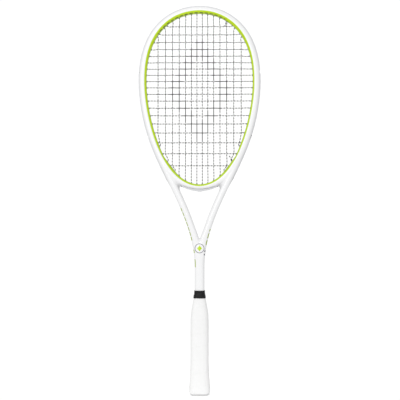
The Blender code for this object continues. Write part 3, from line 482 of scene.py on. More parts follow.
def body_mesh():
    """The painted body as an even mesh on its exact surface, with its exact normals."""
    step = BODY_VOXEL
    reach = Vector((CAD_HIGH.x, SHAFT_DEPTH / 2, 0)) + Vector((1, 1, 0)) * 2.2 * step
    half_count = math.ceil(reach.x / step)
    deep_count = math.ceil(reach.y / step)
    x = np.arange(half_count + 1) * step
    y = (np.arange(2 * deep_count + 1) - deep_count) * step
    z = np.arange(SHAFT_END_Z - 2.4 * step, LENGTH + 2 * step, step)
    columns_x, columns_z = [array.ravel() for array in np.meshgrid(x, z, indexing="ij")]
    _, gap, _ = EDGE.nearest(np.column_stack([columns_x, columns_z]))
    bridge_zone = ((columns_z > BRIDGE_ZONE_LOW) & (columns_z < BRIDGE_ZONE_HIGH)
                   & (columns_x < BRIDGE_ZONE_HALF))
    near = ((gap > TUBE_ZONE_INNER) & (gap < TUBE_ZONE_OUTER)) | bridge_zone
    values = np.full((len(x) * len(z), len(y)), FAR_OUTSIDE)
    places = np.stack([np.repeat(columns_x[near], len(y)), np.tile(y, near.sum()),
                       np.repeat(columns_z[near], len(y))], axis=1)
    values[near] = body_field(places)[0].reshape(-1, len(y))
    values = values.reshape(len(x), len(z), len(y)).transpose(0, 2, 1)
    values = np.concatenate([values[:0:-1], values])
    points, quads = surface_net(values, np.array([-x[-1], y[0], z[0]]), step)
    for _ in range(SURFACE_PASSES):
        value, gradient = body_field(points)
        points -= gradient * (value / (gradient ** 2).sum(1))[:, None]
    _, gradient = body_field(points)
    mesh = mesh_from(points, quads, "racket_body")
    mesh.normals_split_custom_set_from_vertices(
        gradient / np.linalg.norm(gradient, axis=1)[:, None])
    flat = np.column_stack([np.abs(points[:, 0]), points[:, 2]])
    angle, rim, _ = HEAD_LINE.nearest(flat)
    _, gap, _ = EDGE.nearest(flat)
    add_attribute(mesh, "rim_mm", rim / MM)
    add_attribute(mesh, "turn", angle * np.where(points[:, 0] < 0, -1, 1))
    add_attribute(mesh, "edge_mm", -gap / MM)
    return mesh


# ---------------------------------------------------------------- mesh helpers

def mesh_from(points, faces, name):
    mesh = bpy.data.meshes.new(name)
    mesh.from_pydata([tuple(point) for point in points], [], [tuple(face) for face in faces])
    mesh.update()
    mesh.shade_smooth()
    return mesh


def new_object(name, data):
    """An object with this data, linked into the scene."""
    made = bpy.data.objects.new(name, data)
    bpy.context.scene.collection.objects.link(made)
    return made


def add_attribute(mesh, name, values):
    mesh.attributes.new(name, "FLOAT", "POINT").data.foreach_set(
        "value", np.asarray(values, np.float32))


def add_piece(name, shape, materials, nodes):
    """Link a mesh or a solid as a piece that rides on the racket and stands for CAD nodes."""
    mesh = shape.mesh(name) if isinstance(shape, Solid) else shape
    piece = new_object(name, mesh)
    for material in materials:
        mesh.materials.append(material)
    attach(piece, "root")
    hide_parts(*nodes)


class Solid:
    """Gathers closed shells of rings into one mesh."""

    def __init__(self):
        self.points = []
        self.faces = []
        self.slots = []

    def skin(self, rings, slot=0, loop=False):
        """Quads between rings; the ends are capped, or joined to each other if loop is set."""
        base = len(self.points)
        count = len(rings[0])
        last = len(rings) - 1
        for ring in rings:
            self.points += [tuple(point) for point in ring]
        added = []
        for row in range(last + 1 if loop else last):
            low = base + row * count
            high = base + (row + 1) % len(rings) * count
            for column in range(count):
                after = (column + 1) % count
                added.append((low + column, low + after, high + after, high + column))
        if not loop:
            added.append(tuple(base + column for column in reversed(range(count))))
            added.append(tuple(base + last * count + column for column in range(count)))
        self.faces += added
        self.slots += [slot] * len(added)

    def mesh(self, name, sharp_angle=40):
        mesh = mesh_from(self.points, self.faces, name)
        mesh.polygons.foreach_set("material_index", self.slots)
        shape = bmesh.new()
        shape.from_mesh(mesh)
        bmesh.ops.recalc_face_normals(shape, faces=shape.faces)
        shape.to_mesh(mesh)
        shape.free()
        mesh.set_sharp_from_angle(angle=math.radians(sharp_angle))
        return mesh


def rounded(outline, radius, steps=3):
    """A closed outline with each corner replaced by a short arc."""
    result = []
    for index, corner in enumerate(outline):
        corner = Vector(corner)
        before = Vector(outline[index - 1]) - corner
        after = Vector(outline[(index + 1) % len(outline)]) - corner
        reach = min(radius, before.length / 2.1, after.length / 2.1)
        start = corner + before.normalized() * reach
        end = corner + after.normalized() * reach
        for step in range(steps + 1):
            share = step / steps
            result.append(start * (1 - share) ** 2 + corner * 2 * share * (1 - share)
                          + end * share ** 2)
    return result


def turned_rings(start, direction, profile, sides):
    """Rings of a turned shape: profile lists (length along, radius)."""
    turn = direction.to_track_quat("Z", "Y")
    return [[start + turn @ Vector((radius * math.cos(angle), radius * math.sin(angle), along))
             for angle in turns(sides)] for along, radius in profile]


def lifted(place, outward, lift, across):
    """The point in space at a lift off a place on an outline, and across the racket's depth."""
    return Vector((place.x + outward.x * lift, across, place.y + outward.y * lift))


# ---------------------------------------------------------------- string holes

def cross_heights():
    """Heights of the crosses, top first; the spacing is tightest above the head's middle."""
    height = CROSS_TOP_Z
    heights = [height]
    for index in range(CROSSES - 1):
        if index < CROSS_TIGHTEST:
            spread = CROSS_SPREAD_TOP * ((CROSS_TIGHTEST - index) / CROSS_TIGHTEST) ** 2
        else:
            share = (index - CROSS_TIGHTEST) / (CROSSES - 2 - CROSS_TIGHTEST)
            spread = CROSS_SPREAD_BOTTOM * share ** CROSS_SPREAD_POWER
        height -= CROSS_PITCH + spread
        heights.append(height)
    return heights


# Distances of the mains from the middle, innermost first
MAIN_X = list(accumulate((MAIN_PITCH + MAIN_PITCH_GROWTH * index
                          for index in range(MAINS_A_SIDE - 1)), initial=MAIN_FIRST))
CROSS_Z = cross_heights()


def solve_angle(low, high, test):
    """Angle between low and high where test changes sign."""
    low_sign = test(low) > 0
    for _ in range(40):
        middle = (low + high) / 2
        if (test(middle) > 0) == low_sign:
            low = middle
        else:
            high = middle
    return (low + high) / 2


def angle_at_height(height):
    """Angle where the head's inner outline is at a height, on the +X side."""
    return solve_angle(0, math.pi, lambda angle: head_inside(angle).y - height)


def hole_angles():
    """Head angle of each string hole on one side, by name, kept a least distance apart."""
    widest = solve_angle(1.0, 2.0, lambda angle: head_outward(angle).y)
    angles = []
    for index, x in enumerate(MAIN_X, 1):
        top = solve_angle(0, widest, lambda angle: head_inside(angle).x - x)
        bottom = solve_angle(widest, math.pi, lambda angle: head_inside(angle).x - x)
        lead = MAIN_HOLE_LEAD if index > THROAT_MAINS else 0.0
        angles.append([top, f"top_{index}"])
        angles.append([bottom + lead, f"bottom_{index}"])
    for index, height in enumerate(CROSS_Z, 1):
        angles.append([angle_at_height(height), f"cross_{index}"])
    angles.sort()
    for _ in range(60):
        for first, second in zip(angles, angles[1:]):
            distance = (head_inside(first[0]) - head_inside(second[0])).length
            if distance < HOLE_PITCH_MIN:
                push = (HOLE_PITCH_MIN - distance) / distance * (second[0] - first[0]) / 2
                first[0] -= push
                second[0] += push
    return {name: angle for angle, name in angles}


def edge_crossing(start, direction):
    """Where a ray from inside the head leaves the hairpin: (length along the edge, point)."""
    points = [Vector(point) for point in EDGE.points]
    for index, (point_a, point_b) in enumerate(zip(points, points[1:])):
        side_a = (point_a - start).cross(direction)
        side_b = (point_b - start).cross(direction)
        if side_a * side_b <= 0 and (point_a - start).dot(direction) > 0:
            share = side_a / (side_a - side_b)
            length = EDGE.lengths[index] + EDGE.pieces[index] * share
            return length, point_a.lerp(point_b, share)
    raise ValueError("the ray misses the frame")


def bridge_low(angle):
    """Point of the bridge's lower outline, facing the throat."""
    width = BRIDGE_WIDTH + BRIDGE_FLARE * (math.pi - angle) ** 2
    return head_inside(angle) + head_outward(angle) * width


def bridge_under(x):
    """Point of the bridge's lower outline at a distance from the middle, and its normal."""
    side = -1 if x < 0 else 1
    angle = solve_angle(math.pi - 0.6, math.pi, lambda value: bridge_low(value).x - abs(x))
    point = bridge_low(angle)
    along = bridge_low(angle - 0.01) - bridge_low(angle + 0.01)
    down = Vector((along.y * side, -along.x)).normalized()
    return Vector((point.x * side, point.y)), down


THROAT_HOLES = [f"bottom_{index}" for index in range(1, THROAT_MAINS + 1)]
TIE_OFFS = (("bottom_6", 1), ("top_5", 1))


def string_holes():
    """Every hole on the +X side: inner point, outer point and length along the edge."""
    holes = {}
    for name, angle in hole_angles().items():
        inner = head_inside(angle)
        if name in THROAT_HOLES:
            outer, _ = bridge_under(inner.x * THROAT_PINCH)
            holes[name] = (inner, outer, None)
        else:
            length, outer = edge_crossing(inner, head_outward(angle))
            holes[name] = (inner, outer, length)
    return holes


HOLES = string_holes()


def hole_ends(name, side):
    """Inner and outer point of a hole in space, and its direction outward."""
    inner, outer, _ = HOLES[name]
    start = Vector((side * inner.x, 0, inner.y))
    end = Vector((side * outer.x, 0, outer.y))
    return start, end, (end - start).normalized()


# ---------------------------------------------------------------- grommet strips

def strip_section(rise):
    """U-shaped band with rounded edges: (outward from the tube's edge, across)."""
    lip = STRIP_HALF - STRIP_LIP
    top = STRIP_FLOOR + (STRIP_PROUD - STRIP_FLOOR) * rise
    brow = CHANNEL_HALF + STRIP_BROW
    outline = [(STRIP_BACK, -STRIP_HALF), (STRIP_BACK, STRIP_HALF), (top * 0.6, STRIP_HALF),
               (top, lip), (top, brow), (STRIP_FLOOR, CHANNEL_HALF),
               (STRIP_FLOOR, -CHANNEL_HALF), (top, -brow), (top, -lip), (top * 0.6, -STRIP_HALF)]
    return rounded(outline, STRIP_ROUNDING)


def strip_rise(place, start, end, holes):
    """Height of the lips at a place: low at both ends, and dipping a little between holes."""
    end_rise = smooth_step(0, STRIP_END_TAPER, min(place - start, end - place))
    nearest = min((abs(place - hole) for hole in holes), default=0.0)
    dip = smooth_step(2.2 * MM, 4.5 * MM, nearest)
    return (0.25 + 0.75 * end_rise) * (1 - 0.12 * dip)


def add_barrel(solid, name, side, floor):
    """The eyelet in the channel and the rounded tube that lines a hole through the frame."""
    start, end, along = hole_ends(name, side)
    extra = TIE_OFF_EXTRA if (name, side) in TIE_OFFS else 0.0
    outer = BARREL_RADIUS + extra
    bore = BORE_RADIUS + extra
    shoulder = BARREL_PROUD - 0.35 * MM
    brow = BARREL_PROUD - 0.12 * MM
    profile = [(-BARREL_DEPTH, outer), (shoulder, outer), (brow, outer - 0.08 * MM),
               (BARREL_PROUD, outer - 0.25 * MM), (brow, bore + 0.08 * MM), (shoulder, bore),
               (-BARREL_DEPTH + 0.4 * MM, bore)]
    # The tube takes the second, dark grey material: painted shade where the string goes into the frame
    solid.skin(turned_rings(start, -along, profile, BARREL_SIDES), slot=1)
    rim = floor + 0.3 * MM
    brow = rim - 0.08 * MM
    eyelet = [(floor - 0.5 * MM, outer + 0.1 * MM), (brow, outer + 0.1 * MM),
              (rim, outer - 0.05 * MM), (brow, bore + 0.06 * MM), (floor, bore),
              (floor - 0.35 * MM, bore)]
    solid.skin(turned_rings(end, along, eyelet, BARREL_SIDES), slot=0)


def build_strip(name, nodes, start, end, side, holes, materials):
    """A moulded band along the outer edge; holes lists (hole name, side)."""
    solid = Solid()
    spots = [side * hole_side * HOLES[hole][2] for hole, hole_side in holes]
    count = round((end - start) / STRIP_STEP)
    rings = []
    for index in range(count + 1):
        place = start + (end - start) * index / count
        point, outward = EDGE.at(side * place)
        section = strip_section(strip_rise(place, start, end, spots))
        rings.append([lifted(point, outward, lift, across) for lift, across in section])
    solid.skin(rings)
    for hole, hole_side in holes:
        add_barrel(solid, hole, hole_side, STRIP_FLOOR)
    add_piece(name, solid, materials, nodes)


def build_throat_strip(materials):
    """The band under the bridge, scalloped between its holes, with a point in the middle."""
    solid = Solid()
    base = THROAT_STRIP_GAP - STRIP_BACK
    rings = []
    spots = [side * HOLES[name][1].x for name in THROAT_HOLES for side in (1, -1)]
    for index in range(THROAT_STRIP_COUNT + 1):
        x = THROAT_STRIP_HALF * (2 * index / THROAT_STRIP_COUNT - 1)
        point, down = bridge_under(x)
        end_rise = smooth_step(0, 7 * MM, THROAT_STRIP_HALF - abs(x))
        nearest = min(abs(x - spot) for spot in spots)
        dip = smooth_step(1.5 * MM, 5 * MM, nearest)
        middle = 1 - smooth_step(1 * MM, 5 * MM, abs(x))
        steps = 1.0 + 0.4 * (1 - smooth_step(21 * MM, 24 * MM, abs(x)))
        steps += 0.3 * (1 - smooth_step(9 * MM, 12 * MM, abs(x)))
        rise = (0.15 + 0.85 * end_rise) * (steps * (1 - 0.2 * dip) + 0.6 * middle)
        sunk = base * (0.35 + 0.65 * end_rise)
        rings.append([lifted(point, down, lift + sunk, across)
                      for lift, across in strip_section(rise)])
    solid.skin(rings)
    for name in THROAT_HOLES:
        for side in (1, -1):
            add_barrel(solid, name, side, base + STRIP_FLOOR)
    add_piece("strip_throat", solid, materials, ["throat_strip"])


def build_strips(materials):
    bumper_end = EDGE.length_at_z(SIDE_STRIP_TOP_Z)
    side_end = EDGE.length_at_z(YOKE_STRIP_TOP_Z)
    yoke_end = HOLES["bottom_5"][2] + YOKE_STRIP_PAST
    by_length = {name: hole[2] for name, hole in HOLES.items() if hole[2] is not None}
    bumper_holes = [(name, side) for side in (1, -1)
                    for name, length in by_length.items() if length < bumper_end]
    build_strip("strip_bumper", ["bumper_strip"], -bumper_end, bumper_end, 1, bumper_holes, materials)
    for side, word in ((1, "right"), (-1, "left")):
        for label, node, low, high in (("strip_side", "side_strip", bumper_end, side_end),
                                       ("strip_yoke", "yoke_strip", side_end, yoke_end)):
            holes = [(name, side) for name, length in by_length.items() if low < length < high]
            build_strip(f"{label}_{word}", [f"{node}_{word}"], low + STRIP_JOINT, high, side,
                        holes, materials)
    build_throat_strip(materials)


# ---------------------------------------------------------------- string

def channel_point(length, side, lane):
    point, outward = EDGE.at(length)
    place = lifted(point, outward, CHANNEL_LIFT, lane)
    place.x *= side
    return place


def outside_run(start, end, side, lane):
    """Points of the string in the outer channel between two holes, ends left out."""
    length_a = HOLES[start][2]
    length_b = HOLES[end][2]
    clear = math.copysign(MAIN_END_CLEAR, length_b - length_a)
    count = max(1, math.ceil(abs(length_b - length_a) / OUTSIDE_STEP))
    first = length_a + clear
    last = length_b - clear
    return [channel_point(first + (last - first) * index / count, side, lane)
            for index in range(count + 1)]


def throat_run(start, end, side):
    """Points of the string under the bridge between two throat holes."""
    first = hole_ends(start, side)[1].x
    last = hole_ends(end, side)[1].x
    return [lifted(*bridge_under(first + (last - first) * share), THROAT_LIFT, 0)
            for share in (0.2, 0.5, 0.8)]


def through_hole(name, side, inward, shift=None):
    """The string's points through a hole; at a tie-off the main keeps to one side by default."""
    if shift is None:
        shift = -PAIR if (name, side) in TIE_OFFS else 0.0
    start, end, along = hole_ends(name, side)
    lift = THROAT_LIFT if name in THROAT_HOLES else CHANNEL_LIFT
    points = [end + along * lift, start.lerp(end, 0.7), start - along * (BARREL_PROUD + MOUTH_PAST)]
    for point in points:
        point.y = shift
    return points if inward else points[::-1]


def knot(name):
    """Coils of a tie-off round the main beside its hole, from the hole inward."""
    mouth = through_hole(name, 1, True)[-1]
    crossing = main_end(name, 1)
    axis = (crossing - mouth).normalized()
    across = axis.cross(Vector((0, 1, 0)))
    radius = 2 * STRING_RADIUS + KNOT_SLACK
    steps = round(KNOT_TURNS * KNOT_STEPS)
    spread = 2.6 * STRING_RADIUS * KNOT_TURNS
    first = mouth + axis * KNOT_OFF
    points = []
    for index in range(steps + 1):
        share = index / steps
        angle = 2 * math.pi * KNOT_TURNS * share
        centre = first + axis * spread * share
        points.append(centre + Vector((0, radius, 0)) * math.cos(angle)
                      - across * radius * math.sin(angle))
    return points


def main_end(name, side):
    """The crossing nearest a main's hole, where the main leaves its straight run."""
    place, index = name.split("_")
    x = MAIN_X[int(index) - 1]
    mouth = HOLES[name][0].y
    inside = [height for height in CROSS_Z
              if head_inside(angle_at_height(height)).x > x + MAIN_END_CLEAR]
    if place == "top":
        end = max(height for height in inside if height < mouth - MAIN_END_CLEAR)
    else:
        end = min(height for height in inside if height > mouth + MAIN_END_CLEAR)
    return Vector((side * x, 0, end))


def main_x_at(index, height):
    """Distance of a main from the middle at a height, or None beyond its holes."""
    for name in (f"top_{index}", f"bottom_{index}"):
        end = main_end(name, 1)
        mouth = through_hole(name, 1, True)[-1]
        share = (height - end.z) / (mouth.z - end.z)
        if share > 1:
            return None
        if share > 0:
            return end.x + (mouth.x - end.x) * share
    return MAIN_X[index - 1]


def crossings():
    """Which crosses meet each main, as {(main, cross): x}, for the +X side."""
    meeting = {}
    for cross, height in enumerate(CROSS_Z, 1):
        reach = through_hole(f"cross_{cross}", 1, True)[-1].x - STRING_RADIUS
        for main in range(1, MAINS_A_SIDE + 1):
            x = main_x_at(main, height)
            if x is not None and x < reach:
                meeting[main, cross] = x
    return meeting


MEETING = crossings()


def crossing(main, cross, side, lift):
    """Point where a main and a cross meet; the lift is to +Y where the cross passes behind."""
    behind = ((main + cross) % 2 == 1) == (side > 0)
    return Vector((side * MEETING[main, cross], lift if behind else -lift, CROSS_Z[cross - 1]))


def cross_weave(cross, side):
    """Crossing points of one cross, walking from the given side to the other."""
    points = [crossing(main, cross, half, CROSS_WEAVE)
              for main, meets in MEETING if meets == cross for half in (1, -1)]
    return sorted(points, key=lambda point: point.x * side, reverse=True)


def main_weave(main, side, upward):
    """Crossing points of one main, from the bottom up or from the top down."""
    points = [crossing(main, cross, side, -MAIN_WEAVE) for meets, cross in MEETING if meets == main]
    return sorted(points, key=lambda point: point.z, reverse=not upward)


def string_route():
    """The one-piece string: mains from the lower right tie-off, then crosses bottom to top."""
    coils = knot("bottom_6")
    route = [coils[-1] + LOW_TAIL] + coils[::-1]
    route += through_hole("bottom_6", 1, False, PAIR)
    route += outside_run("bottom_6", "bottom_7", 1, -LANE)
    route += through_hole("bottom_7", 1, True)
    for side, order in ((1, range(7, 0, -1)), (-1, range(1, 8))):
        upward = side > 0
        for main in order:
            name_out = f"top_{main}" if upward else f"bottom_{main}"
            following = main - side
            route += main_weave(main, side, upward)
            route += through_hole(name_out, side, False)
            if name_out == "bottom_7":
                break
            if following == 0:
                route += [channel_point(0, 1, -LANE)]
                route += through_hole("top_1", -1, True)
                break
            goal = f"top_{following}" if upward else f"bottom_{following}"
            if name_out in THROAT_HOLES:
                route += throat_run(name_out, goal, side)
            else:
                route += outside_run(name_out, goal, side, -LANE)
            route += through_hole(goal, side, True)
            upward = not upward
    route += outside_run("bottom_7", "cross_18", -1, -LANE)
    route += outside_run("cross_18", "cross_19", -1, LANE)
    side = -1
    for cross in range(CROSSES, 0, -1):
        route += through_hole(f"cross_{cross}", side, True)
        route += cross_weave(cross, side)
        side = -side
        route += through_hole(f"cross_{cross}", side, False)
        if cross > 1:
            route += outside_run(f"cross_{cross}", f"cross_{cross - 1}", side, LANE)
    route += outside_run("cross_1", "top_5", 1, LANE)
    route += through_hole("top_5", 1, True, PAIR)
    coils = knot("top_5")
    return route + coils + [coils[-1] + TOP_TAIL]


def sweep(points, radius, sides):
    """Rings of a round tube through the points, turning no more than they do."""
    rings = []
    along = (points[1] - points[0]).normalized()
    across = along.orthogonal().normalized()
    for index, point in enumerate(points):
        before = points[max(index - 1, 0)]
        after = points[min(index + 1, len(points) - 1)]
        turned = (after - before).normalized()
        across = along.rotation_difference(turned) @ across
        across = (across - turned * across.dot(turned)).normalized()
        along = turned
        other = along.cross(across)
        rings.append([point + (across * math.cos(angle) + other * math.sin(angle)) * radius
                      for angle in turns(sides)])
    return rings


def build_string(material):
    points = eased(string_route(), STRING_EASE, lambda span: max(3, math.ceil(span / STRING_STEP)))
    solid = Solid()
    solid.skin(sweep(points, STRING_RADIUS, STRING_SIDES))
    mesh = solid.mesh("string_bed", sharp_angle=80)
    run = 0.0
    runs = []
    for index, point in enumerate(points):
        run += (point - points[max(index - 1, 0)]).length
        runs += [run / MM] * STRING_SIDES
    add_attribute(mesh, "run_mm", runs)
    add_piece("string_bed", mesh, [material], ["string"])


# ---------------------------------------------------------------- handle

def smooth_profile(profile, steps):
    """The profile's (height, half width) eased into a curve, at even steps."""
    points = [Vector((height * MM, half * MM)) for height, half in profile]
    curve = eased(points, 1 / 3, lambda span: 8)
    heights = [point.x for point in curve]
    halves = [point.y for point in curve]
    return [(height, float(np.interp(height, heights, halves)))
            for height in np.linspace(heights[0], heights[-1], steps)]


def oval_ring(height, half_x, half_y, swell=None):
    """One ring round the handle; swell(angle, height) adds to its half sizes."""
    ring = []
    for angle in turns(HANDLE_SIDES):
        extra = swell(angle, height) if swell else 0.0
        across = math.cos(angle)
        along = math.sin(angle)
        x = math.copysign(abs(across) ** (2 / HANDLE_POWER), across) * (half_x + extra)
        y = math.copysign(abs(along) ** (2 / HANDLE_POWER), along) * (half_y + extra)
        ring.append(Vector((x, y, height)))
    return ring


def depth_half(half_x):
    """Half depth of the grip where it has a half width, always clear of the shaft inside it."""
    return max(half_x - GRIP_FLATTER * min(1.0, half_x / GRIP_HALF_X), SHAFT_DEPTH / 2 + MM)


def wrap_swell(angle, height):
    """Each turn of the wrap lies over the edge of the one below it."""
    phase = (height / WRAP_PITCH - angle / (2 * math.pi)) % 1.0
    rise = smooth_step(0.0, 0.05, phase)
    fall = 1 - 0.55 * phase
    wobble = noise.noise(Vector((3 * math.cos(angle), 3 * math.sin(angle), height * 60)))
    return WRAP_STEP * (rise * fall - 0.6) + WRAP_WOBBLE * wobble


def build_grip(material):
    """A cushioned wrap in overlapping turns, as an open sleeve over the pallets."""
    fit = (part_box("grip")[1].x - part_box("grip")[0].x) / (2 * GRIP_WIDEST)
    levels = [(height, half * fit) for height, half in smooth_profile(GRIP_PROFILE, GRIP_LEVELS)]
    outer = [oval_ring(height, half, depth_half(half), wrap_swell) for height, half in levels]
    inner = [oval_ring(height, half - GRIP_THICKNESS, depth_half(half) - GRIP_THICKNESS)
             for height, half in reversed(levels[::12] + [levels[-1]])]
    solid = Solid()
    solid.skin(outer + inner, loop=True)
    add_piece("grip_wrap", solid, [material], ["grip"])


def build_butt_cap(material):
    """The cap's rolled rim and its flat end, with a shallow ring moulded in it."""
    fit = (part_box("butt_cap")[1].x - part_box("butt_cap")[0].x) / (2 * CAP_WIDEST)
    face = [(0.0, 0.02), (0.0, 0.60), (CAP_RING_DEPTH, 0.62), (CAP_RING_DEPTH, 0.68), (0.0, 0.70)]
    flat = CAP_PROFILE[0][1] * MM * fit
    rings = [oval_ring(height, flat * share, (flat - GRIP_FLATTER) * share)
             for height, share in face]
    for height, half in CAP_PROFILE:
        half_x = half * MM * fit
        rings.append(oval_ring(height * MM, half_x, half_x - GRIP_FLATTER))
    solid = Solid()
    solid.skin(rings)
    add_piece("butt_cap_moulded", solid, [material], ["butt_cap"])


def tape_swell(angle, height):
    """Wrinkles of a stretched tape, running round it and a little downhill."""
    place = Vector((2.2 * math.cos(angle), 2.2 * math.sin(angle), height * 380 + 0.25 * angle))
    return TAPE_WRINKLE * noise.noise(place)


def build_tape(material):
    """Two turns of stretched tape over the grip's thin end, with uneven edges."""
    low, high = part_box("finishing_tape")
    outer = []
    for row in range(TAPE_ROWS + 1):
        share = row / TAPE_ROWS
        full = 1 - smooth_step(0.1, 0.75, share)
        ring = oval_ring(low.z + (high.z - low.z) * share,
                         SHAFT_WIDTH / 2 + (TAPE_CLEAR + TAPE_FULLER_X * full),
                         SHAFT_DEPTH / 2 + (TAPE_CLEAR + TAPE_FULLER_Y * full), tape_swell)
        edge = 1 - min(share, 1 - share) * 2
        for point in ring:
            angle = math.atan2(point.y, point.x)
            ragged = noise.noise(Vector((4 * math.cos(angle), 4 * math.sin(angle), share * 3)))
            point.z -= math.copysign(TAPE_RAGGED * abs(ragged) * edge ** 3, share - 0.5)
        outer.append(ring)
    inner = [oval_ring(height, SHAFT_WIDTH / 2 - TAPE_SUNK, SHAFT_DEPTH / 2 - TAPE_SUNK)
             for height in (high.z - 0.6 * MM, low.z + 0.6 * MM)]
    solid = Solid()
    solid.skin(outer + inner, loop=True)
    add_piece("tape_wrap", solid, [material], ["finishing_tape"])


# ---------------------------------------------------------------- materials

class Value:
    """A node's output, or what becomes of it in sums, products and soft steps."""

    def __init__(self, look, socket):
        self.look = look
        self.socket = socket

    def math(self, operation, *others):
        inputs = dict(enumerate((self, *others)))
        return self.look.output("ShaderNodeMath", 0, inputs, operation=operation)

    def __add__(self, other):
        return self.math("ADD", other)

    def __sub__(self, other):
        return self.math("SUBTRACT", other)

    def __mul__(self, other):
        return self.math("MULTIPLY", other)

    def __truediv__(self, other):
        return self.math("DIVIDE", other)

    def __abs__(self):
        return self.math("ABSOLUTE")

    def flipped(self):
        """1 where the value is 0, and 0 where it is 1."""
        return self * -1.0 + 1.0

    def below(self, limit, blur):
        """1 where the value is under limit and 0 above it, with a soft step of width blur."""
        ends = {"Value": self, "From Min": limit - blur / 2, "From Max": limit + blur / 2,
                "To Min": 1.0, "To Max": 0.0}
        return self.look.output("ShaderNodeMapRange", 0, ends)

    def between(self, low, high, blur):
        return self.below(high, blur) * self.below(low, blur).flipped()

    def dashes(self, pitch, filled):
        """1 on the filled share of every pitch along the value."""
        return (self / pitch).math("FRACT").below(filled, 0.06)


class Look:
    """A Principled material that is added to node by node; x, y and z are in mm."""

    def __init__(self, name, **sockets):
        self.material = bpy.data.materials.new(name)
        self.material.use_nodes = True
        self.tree = self.material.node_tree
        self.shader = self.tree.nodes["Principled BSDF"]
        self.place = self.output("ShaderNodeTexCoord", "Object")
        metres = self.node("ShaderNodeSeparateXYZ", {0: self.place}).outputs
        self.x, self.y, self.z = [Value(self, socket) / MM for socket in metres]
        for socket, value in sockets.items():
            self.set(socket.replace("_", " "), value)

    def feed(self, socket, value):
        """Link a value into a socket, or set a number or a colour on it."""
        if isinstance(value, Value):
            self.tree.links.new(value.socket, socket)
        else:
            socket.default_value = (*value, 1.0) if socket.type == "RGBA" else value

    def set(self, socket, value):
        self.feed(self.shader.inputs[socket], value)

    def node(self, kind, inputs, **settings):
        made = self.tree.nodes.new(kind)
        for name, value in settings.items():
            setattr(made, name, value)
        for socket, value in inputs.items():
            self.feed(made.inputs[socket], value)
        return made

    def output(self, kind, name, inputs=None, **settings):
        return Value(self, self.node(kind, inputs or {}, **settings).outputs[name])

    def attribute(self, name):
        return self.output("ShaderNodeAttribute", "Fac", attribute_name=name)

    def mix(self, share, first, second):
        return self.output("ShaderNodeMix", 2, {0: share, 6: first, 7: second}, data_type="RGBA")

    def noise(self, scale, detail):
        return self.output("ShaderNodeTexNoise", "Fac",
                           {"Vector": self.place, "Scale": scale, "Detail": detail})

    def cells(self, scale):
        return self.output("ShaderNodeTexVoronoi", "Distance",
                           {"Vector": self.place, "Scale": scale})

    def bump(self, height, strength, depth):
        self.set("Normal", self.output("ShaderNodeBump", 0, {
            "Height": height, "Strength": strength, "Distance": depth * MM}))


def head_paint(look, colour):
    """Lime round the head's inside, widest over the top, with plain dark dashes in it there."""
    rim = look.attribute("rim_mm")
    turn = look.attribute("turn")
    reach = abs(turn).below(0.8, 0.9) * 1.7 + 3.5 - look.x * 0.004
    colour = look.mix((rim - reach).below(0.0, 0.12), colour, LIME)
    span = (turn + 0.12).between(-0.60, 0.52, 0.01)
    dashes = rim.between(0.5, 1.9, 0.1) * span * turn.dashes(0.075, 0.66)
    return look.mix(dashes * 0.85, colour, (0.06, 0.09, 0.01))


def arm_paint(look, colour):
    """Plain lines down the outer corners of the arms, in a darker lime that is painted shade of their
    side faces, and two dark squares.
    """
    edge = look.attribute("edge_mm")
    height = look.z
    corner = abs(look.y).between(4.6, 8.0, 0.15)
    left = look.x.below(0.0, 0.01)
    right = left.flipped() * corner * edge.below(3.4, 0.1)
    left_lines = (height.between(271.0, 329.0, 0.5) * height.dashes(8.5, 0.80)
                  + height.between(225.0, 239.0, 0.5) + height.between(250.0, 256.0, 0.5))
    right_lines = height.between(261.0, 292.0, 0.5) * height.dashes(12.0, 0.72)
    lines = left * corner * edge.below(1.9, 0.1) * left_lines + right * right_lines
    squares = right * height.between(244.0, 256.0, 0.3) * height.dashes(6.0, 0.45)
    # The lines are printed but take the darker lime as painted shade of the side faces; the squares
    # are print
    return look.mix(squares, look.mix(lines, colour, SHADED_LIME), (0.08, 0.08, 0.10))


def badge_paint(look, colour):
    """A plain ring with a lozenge in it, on both faces of the crotch."""
    rise = look.z - BADGE_Z
    radius = (look.x * look.x + rise * rise).math("SQRT")
    facing = abs(look.y).below(5.0, 0.2).flipped()
    lozenge = abs(look.x / 4.3) + abs(rise / 5.2)
    colour = look.mix(facing * radius.between(7.4, 8.5, 0.1), colour, (0.16, 0.16, 0.20))
    return look.mix(facing * lozenge.below(1.0, 0.04), colour, LIME)


def frame_paint():
    look = Look("frame_paint", Coat_Weight=0.3, Coat_Roughness=0.06, Specular_IOR_Level=0.3)
    speckle = look.noise(900.0, 3.0)
    colour = look.mix(speckle * 0.12, WHITE_PAINT, (0.78, 0.79, 0.80))
    for paint in (head_paint, arm_paint, badge_paint):
        colour = paint(look, colour)
    look.set("Base Color", colour)
    look.set("Roughness", speckle * 0.10 + 0.18)
    look.bump(look.noise(160.0, 1.0), 0.06, 0.4)
    return look.material


def string_look():
    """Pale string with dark flecks along it, and a plain lozenge inked on the bed."""
    look = Look("string", Specular_IOR_Level=0.15)
    flecks = look.attribute("run_mm").dashes(5.3, 0.59)
    fibre = look.noise(2500.0, 2.0)
    pale = look.mix(fibre, (0.72, 0.725, 0.72), (0.80, 0.80, 0.795))
    colour = look.mix(flecks, pale, (0.002, 0.002, 0.002))
    wobble = (look.noise(400.0, 1.0) - 0.5) * 0.06
    lozenge = abs(look.x) / 58.0 + abs(look.z - 537.0) / 98.0 + wobble
    ink = abs(look.y).below(1.7, 0.1) * lozenge.between(0.62, 1.0, 0.02)
    look.set("Base Color", look.mix(ink, colour, INK))
    look.set("Roughness", ink * 0.25 + 0.24)
    look.bump(fibre, 0.2, 0.1)
    return look.material


